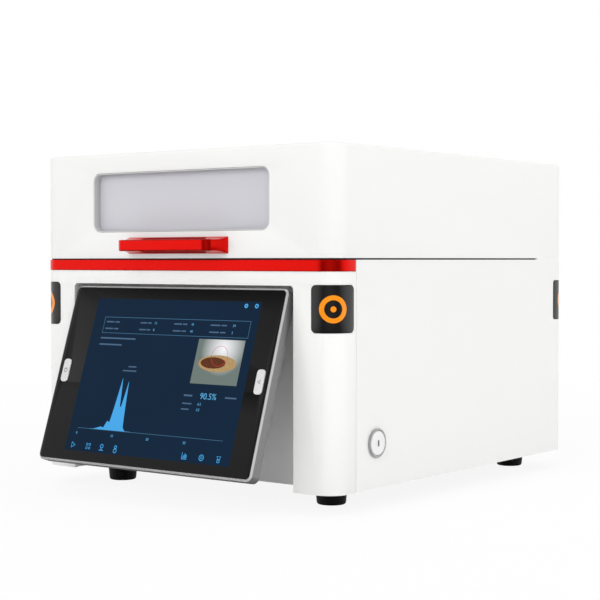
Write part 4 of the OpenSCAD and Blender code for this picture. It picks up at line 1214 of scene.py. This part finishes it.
def merge_into(name, pieces):
    """Joins pieces into one."""
    make_active(pieces[0])
    for piece in pieces[1:]:
        piece.select_set(True)
    if len(pieces) > 1:
        bpy.ops.object.join()
    pieces[0].name = pieces[0].data.name = name
    return pieces[0]


print("prints are", ink, "thick")

# %% Signs on the keys
power_radius, power_line_width = 2.1 * MM, 0.5 * MM
power_gap_half, power_line_half = 0.8 * MM, 0.25 * MM
start_radius, start_line_width = 2.3 * MM, 0.75 * MM

power_ring = ink_ring("power_sign", -key_x, key_down, power_radius, power_line_width,
                      near=-key_proud)
cut_away(power_ring, ink_bar("power_gap", -key_x - power_gap_half, -key_x + power_gap_half,
                             key_down - 3.0 * MM, key_down - 1.0 * MM, near=-key_proud + ink))
power_line = ink_bar("power_line", -key_x - power_line_half, -key_x + power_line_half,
                     key_down - 2.6 * MM, key_down - 0.4 * MM, near=-key_proud)
power_sign = lean_into_place(merge_into("power_sign", [power_ring, power_line]))
finish_piece(power_sign, "power_key", finishes["mark_grey"])

start_sign = ink_ring("start_sign", key_x, key_down, start_radius, start_line_width, sides=3,
                      turn=math.pi / 2, near=-key_proud)
finish_piece(lean_into_place(start_sign), "start_key", finishes["mark_grey"])

# %% [markdown]
# ## The picture on the screen
# The screen shows a measurement: a box of settings, a spectrum with two peaks, the sample seen
# by the camera, the result and a row of icons. Its rows are short bars and plain numbers. It
# could be one image on a sheet, but drawn in mesh it stays sharp from near by. Lit things
# shine with their own colour, so they look the same in any light.

# %% A lit finish and the sheet that carries the picture
BLACK = (0.0, 0.0, 0.0)
screen_left, screen_right = -97 * MM, 104 * MM
screen_top, screen_bottom = 13 * MM, 162 * MM
screen_radius = 0.8 * MM
screen_lift = 0.03 * MM
print_lift = 2 * screen_lift


def make_glow(name, colour, second=None, drift=20.0):
    """A finish that shines with one colour, or with two that drift."""
    material, tree, shader = start_finish(name, "lcd_module", Base_Color=BLACK, Roughness=0.14,
                                          Specular_IOR_Level=0.04, Emission_Strength=1.0)
    slow = place_group(tree, drift_group, drift)
    feed(tree, mix_colours(tree, slow, colour, second or colour), shader["Emission Color"])
    return material


glow_navy = make_glow("screen_navy", (0.0048, 0.0165, 0.038), (0.0056, 0.0215, 0.052), 8.0)
glow_blue = make_glow("screen_blue", (0.060, 0.37, 0.78), (0.075, 0.41, 0.84))
glow_line = make_glow("screen_line", (0.055, 0.16, 0.27), (0.065, 0.18, 0.30))
glow_word = make_glow("screen_word", (0.065, 0.13, 0.22), (0.08, 0.15, 0.25))
glow_number = make_glow("screen_number", (0.10, 0.42, 0.75), (0.12, 0.46, 0.80))

screen = round_block("screen_picture", (screen_left, -screen_lift, -screen_bottom),
                     (screen_right, 0, -screen_top), screen_radius, "Y", 4)
finish_piece(lean_into_place(screen), "display", glow_navy)

# %% [markdown]
# Everything drawn on the sheet is a thin print too. From here on its places are plain
# millimetres: across from the display's middle and down from its top edge, as they would be
# measured with a ruler. Prints of one colour are joined into one piece.

# %% Prints on the screen: the box of settings and the bars in it


def screen_bar(left, right, top, bottom):
    """A bar on the screen, in millimetres across and down."""
    return ink_bar("bar", left * MM, right * MM, top * MM, bottom * MM, near=-print_lift)


def show(name, prints, finish):
    """Joins prints, leans them into place and mounts them on the display."""
    finish_piece(lean_into_place(merge_into(name, prints)), "display", finish)


box_left, box_right, box_top, box_bottom, box_line = -83, 96, 31, 47, 0.45
line_bars = [(box_left, box_right, box_top, box_top + box_line),
             (box_left, box_right, box_bottom - box_line, box_bottom),
             (box_left, box_left + box_line, box_top, box_bottom),
             (box_right - box_line, box_right, box_top, box_bottom),
             (-86, 91.6, 139.8, 140.2)]
show("screen_lines", [screen_bar(*bar) for bar in line_bars], glow_line)

word_bars = []
for top in (35.2, 41.8):
    bottom = top + 1.3
    for left, length in ((-80, 17), (-36, 14), (6, 16), (50, 19)):
        word_bars += [(left, left + 0.6 * length, top, bottom),
                      (left + 0.68 * length, left + length, top, bottom)]
word_bars += [(-83, -38, 51.2, 52.6), (-83, -54, 57.4, 58.8), (36, 46, 101.0, 102.6),
              (84, 97, 101.0, 102.4), (36, 47, 108.6, 109.8), (36, 45, 113.8, 115.0),
              (-39, -29, 78.0, 79.2), (-45, -28, 82.0, 83.2)]
show("screen_words", [screen_bar(*bar) for bar in word_bars], glow_word)

# %% [markdown]
# Numbers are text objects turned into meshes, with the depth of a print. Drawing each digit
# from bars would look like a pocket calculator.

# %% Numbers on the screen


def screen_number(words, left, base, size):
    """A number on the screen, its baseline at a height down the screen, in millimetres."""
    clear_selection()
    bpy.ops.object.text_add(location=(left * MM, -print_lift, -base * MM),
                            rotation=(math.pi / 2, 0, 0))
    text = bpy.context.active_object
    text.data.body = words
    text.data.size = size * MM
    text.data.extrude = ink / 2
    bpy.ops.object.convert(target="MESH")
    apply_place()
    return text


number_prints = [("90.5%", 55, 104.2, 8.0), ("6.5", 54, 110.2, 3.4), ("3.5", 53.6, 115.4, 3.4),
                 ("12", -18.5, 36.8, 3.2), ("8", -18.5, 43.4, 3.2), ("45", 27, 36.8, 3.2),
                 ("40", 27, 43.4, 3.2), ("24", 76, 36.8, 3.2), ("2", 76, 43.4, 3.2)]
number_prints += [(str(10 * step), -87 + 44.4 * step, 146.0, 3.4) for step in range(4)]
show("screen_numbers", [screen_number(*number) for number in number_prints], glow_number)

# %% [markdown]
# The spectrum is a filled curve with two tall peaks on a wide foot. Its outline could be
# traced by hand, but measured peaks are sums of simple ones. So a fine grid starts as a strip,
# and each point of its upper row is lifted to the height that the sum of five peaks gives.

# %% Spectrum
spectrum_left, spectrum_right, spectrum_base = -70, -20, 139.8
spectrum_foot = 0.2
# Each peak's middle, height, half width and how hollow its sides are
spectrum_peaks = [(-42.4, 38.5, 5.4, 1.25), (-34.1, 40.0, 4.8, 1.25), (-40.0, 15.0, 14.0, 1.1),
                  (-50.5, 4.6, 3.4, 1.0), (-57.0, 2.6, 9.0, 1.0)]


def spectrum_height(u):
    """Height of the curve above its axis, in millimetres."""
    return spectrum_foot + sum(tall * max(0.0, 1 - abs(u - middle) / wide) ** power
                               for middle, tall, wide, power in spectrum_peaks)


clear_selection()
bpy.ops.mesh.primitive_grid_add(x_subdivisions=150, y_subdivisions=1, size=1,
                                rotation=(math.pi / 2, 0, 0))
spectrum = bpy.context.active_object
apply_place()
curve_mesh = start_edit(spectrum, action="SELECT")
for vert in curve_mesh.verts:
    u = spectrum_left + (vert.co.x + 0.5) * (spectrum_right - spectrum_left)
    lift = spectrum_height(u) if vert.co.z > 0 else 0.0
    vert.co = Vector((u * MM, -print_lift, (lift - spectrum_base) * MM))
bmesh.update_edit_mesh(spectrum.data)
push((0, -ink, 0))
bpy.ops.mesh.select_all(action="SELECT")
bpy.ops.mesh.normals_make_consistent(inside=False)
leave_edit()
show("screen_spectrum", [spectrum], glow_blue)

# %% [markdown]
# The icons along the foot of the screen are small outlines. Each is put together from the
# same rings, polygons and bars, so no new tool is needed.

# %% Icons along the foot of the screen and two dots at its top
icon_v = 156.5
dot_v = 17.0
RIGHT_ANGLE = math.pi / 2


def screen_ring(u, v, radius, line, sides=32, turn=0.0):
    """A ring or polygon outline on the screen, in millimetres."""
    return ink_ring("ring", u * MM, v * MM, radius * MM, line * MM, sides, turn, near=-print_lift)


start_icon = [screen_ring(-87.6, icon_v, 3.4, 1.0, 3, -RIGHT_ANGLE)]
tiles_icon = [screen_ring(-67.5 + du, icon_v + dv, 1.5, 0.6, 4, RIGHT_ANGLE / 2)
              for du, dv in ((-1.7, -1.7), (1.7, -1.7), (-1.7, 1.7), (1.7, 1.7))]
stand_icon = [screen_ring(-50.3, icon_v - 1.2, 2.0, 0.7),
              screen_bar(-53.0, -47.6, icon_v + 2.2, icon_v + 2.9),
              screen_bar(-50.7, -49.9, icon_v + 0.8, icon_v + 2.2)]
user_icon = [screen_ring(-32.8, icon_v - 1.6, 1.7, 0.7),
             screen_ring(-32.8, icon_v + 1.9, 2.4, 0.8, 6)]
chart_bars = [(48.5, 49.1, -3.0, 3.0), (48.5, 54.5, 2.4, 3.0), (50.0, 51.0, -0.4, 2.0),
              (51.6, 52.6, -2.2, 2.0), (53.2, 54.2, -1.2, 2.0)]
chart_icon = [screen_bar(left, right, icon_v + above, icon_v + below)
              for left, right, above, below in chart_bars]
dial_icon = [screen_ring(71.3, icon_v, radius, line) for radius, line in ((2.9, 0.7), (1.3, 0.5))]
ribbon_icon = [screen_ring(90.9, icon_v - 1.2, 3.0, 0.8, 3),
               screen_ring(90.9, icon_v + 1.4, 2.3, 0.7, 4, RIGHT_ANGLE / 2)]
status_dots = [screen_ring(86.6, dot_v, 2.1, 1.4), screen_ring(98.6, dot_v, 2.1, 1.2)]
show("screen_icons", start_icon + tiles_icon + stand_icon + user_icon + chart_icon + dial_icon
     + ribbon_icon + status_dots, glow_blue)

# %% [markdown]
# The sample camera's picture shows a broad gold ring lying on the stage under a lamp, with an
# aiming circle drawn over it. A full model of the ring would hardly show at this size, so the
# picture is kept simple: a pale sheet with a soft bright spot, one flat oval for the ring, a
# darker one for its inside, and a thin red circle.

# %% The sample camera's picture: the lit sheet
shot_left, shot_right, shot_top, shot_bottom = 40, 94, 49, 90.5
shot_u, shot_v = (shot_left + shot_right) / 2, (shot_top + shot_bottom) / 2
bright_u, bright_v = shot_u + 4, shot_top + 8
bright_reach = 26 * MM

shot_glow = make_glow("shot_sheet", (0.36, 0.42, 0.41))
shot_tree = shot_glow.node_tree
bright_point = display_top + (Matrix.Rotation(-display_lean, 4, "X")
                              @ Vector((bright_u * MM, 0, -bright_v * MM)))
shot_place = shot_tree.nodes.new("ShaderNodeTexCoord")
shot_from = shot_tree.nodes.new("ShaderNodeMapping")
shot_from.inputs["Location"].default_value = -bright_point / bright_reach
shot_from.inputs["Scale"].default_value = (1 / bright_reach,) * 3
shot_ball = shot_tree.nodes.new("ShaderNodeTexGradient")
shot_ball.gradient_type = "SPHERICAL"
feed(shot_tree, shot_place.outputs["Object"], shot_from.inputs["Vector"])
feed(shot_tree, shot_from.outputs["Vector"], shot_ball.inputs["Vector"])
shot_colour = mix_colours(shot_tree, shot_ball.outputs["Fac"], (0.16, 0.20, 0.185),
                          (0.95, 0.95, 0.97))
feed(shot_tree, shot_colour, shot_tree.nodes["Principled BSDF"].inputs["Emission Color"])
show("shot_sheet", [screen_bar(shot_left, shot_right, shot_top, shot_bottom)], shot_glow)

# %% The sample camera's picture: the ring and the aiming circle
band_glow = make_glow("shot_ring", (0.30, 0.16, 0.045), (0.62, 0.44, 0.22), 700.0)
inside_glow = make_glow("shot_ring_inside", (0.035, 0.010, 0.008), (0.20, 0.06, 0.02), 900.0)
aim_glow = make_glow("shot_aim", (0.62, 0.05, 0.07))


def flat_oval(u, v, wide, tall, layer):
    """A thin oval on the screen, lifted by a number of ink layers."""
    oval = start_round("oval", (0, 0, 0), 1, 1, "Y", 48)
    oval.scale = (wide / 2 * MM, ink, tall / 2 * MM)
    oval.location = (u * MM, -print_lift - layer * ink, -v * MM)
    make_active(oval)
    apply_place()
    return oval


show("shot_ring", [flat_oval(shot_u, shot_v + 1.5, 44, 15.5, 1.2)], band_glow)
show("shot_ring_inside", [flat_oval(shot_u - 5, shot_v + 1.0, 29, 10.5, 2.4)], inside_glow)
show("shot_aim", [ink_ring("aim", (shot_u + 1) * MM, (shot_v - 5.5) * MM, 9.5 * MM, 0.35 * MM,
                           near=-print_lift - 3.2 * ink)], aim_glow)

# %% [markdown]
# ## Everything else
# The rest of the cabinet keeps its shape from the frame: casing, rear panel, recess, hinges,
# fan, sockets and the measuring parts inside. Remodelling them would add nothing that shows,
# so each only gets the finish that the record names for it.

# %% Finishes for the frame's own nodes
slot_of_node = {row["node"]: row["material_slot"] for row in frame["record"]["subparts"]}
for name, node in frame["nodes"].items():
    node.data.materials.clear()
    node.data.materials.append(finishes[slot_of_node[name]])
print(len(frame["nodes"]), "nodes painted")
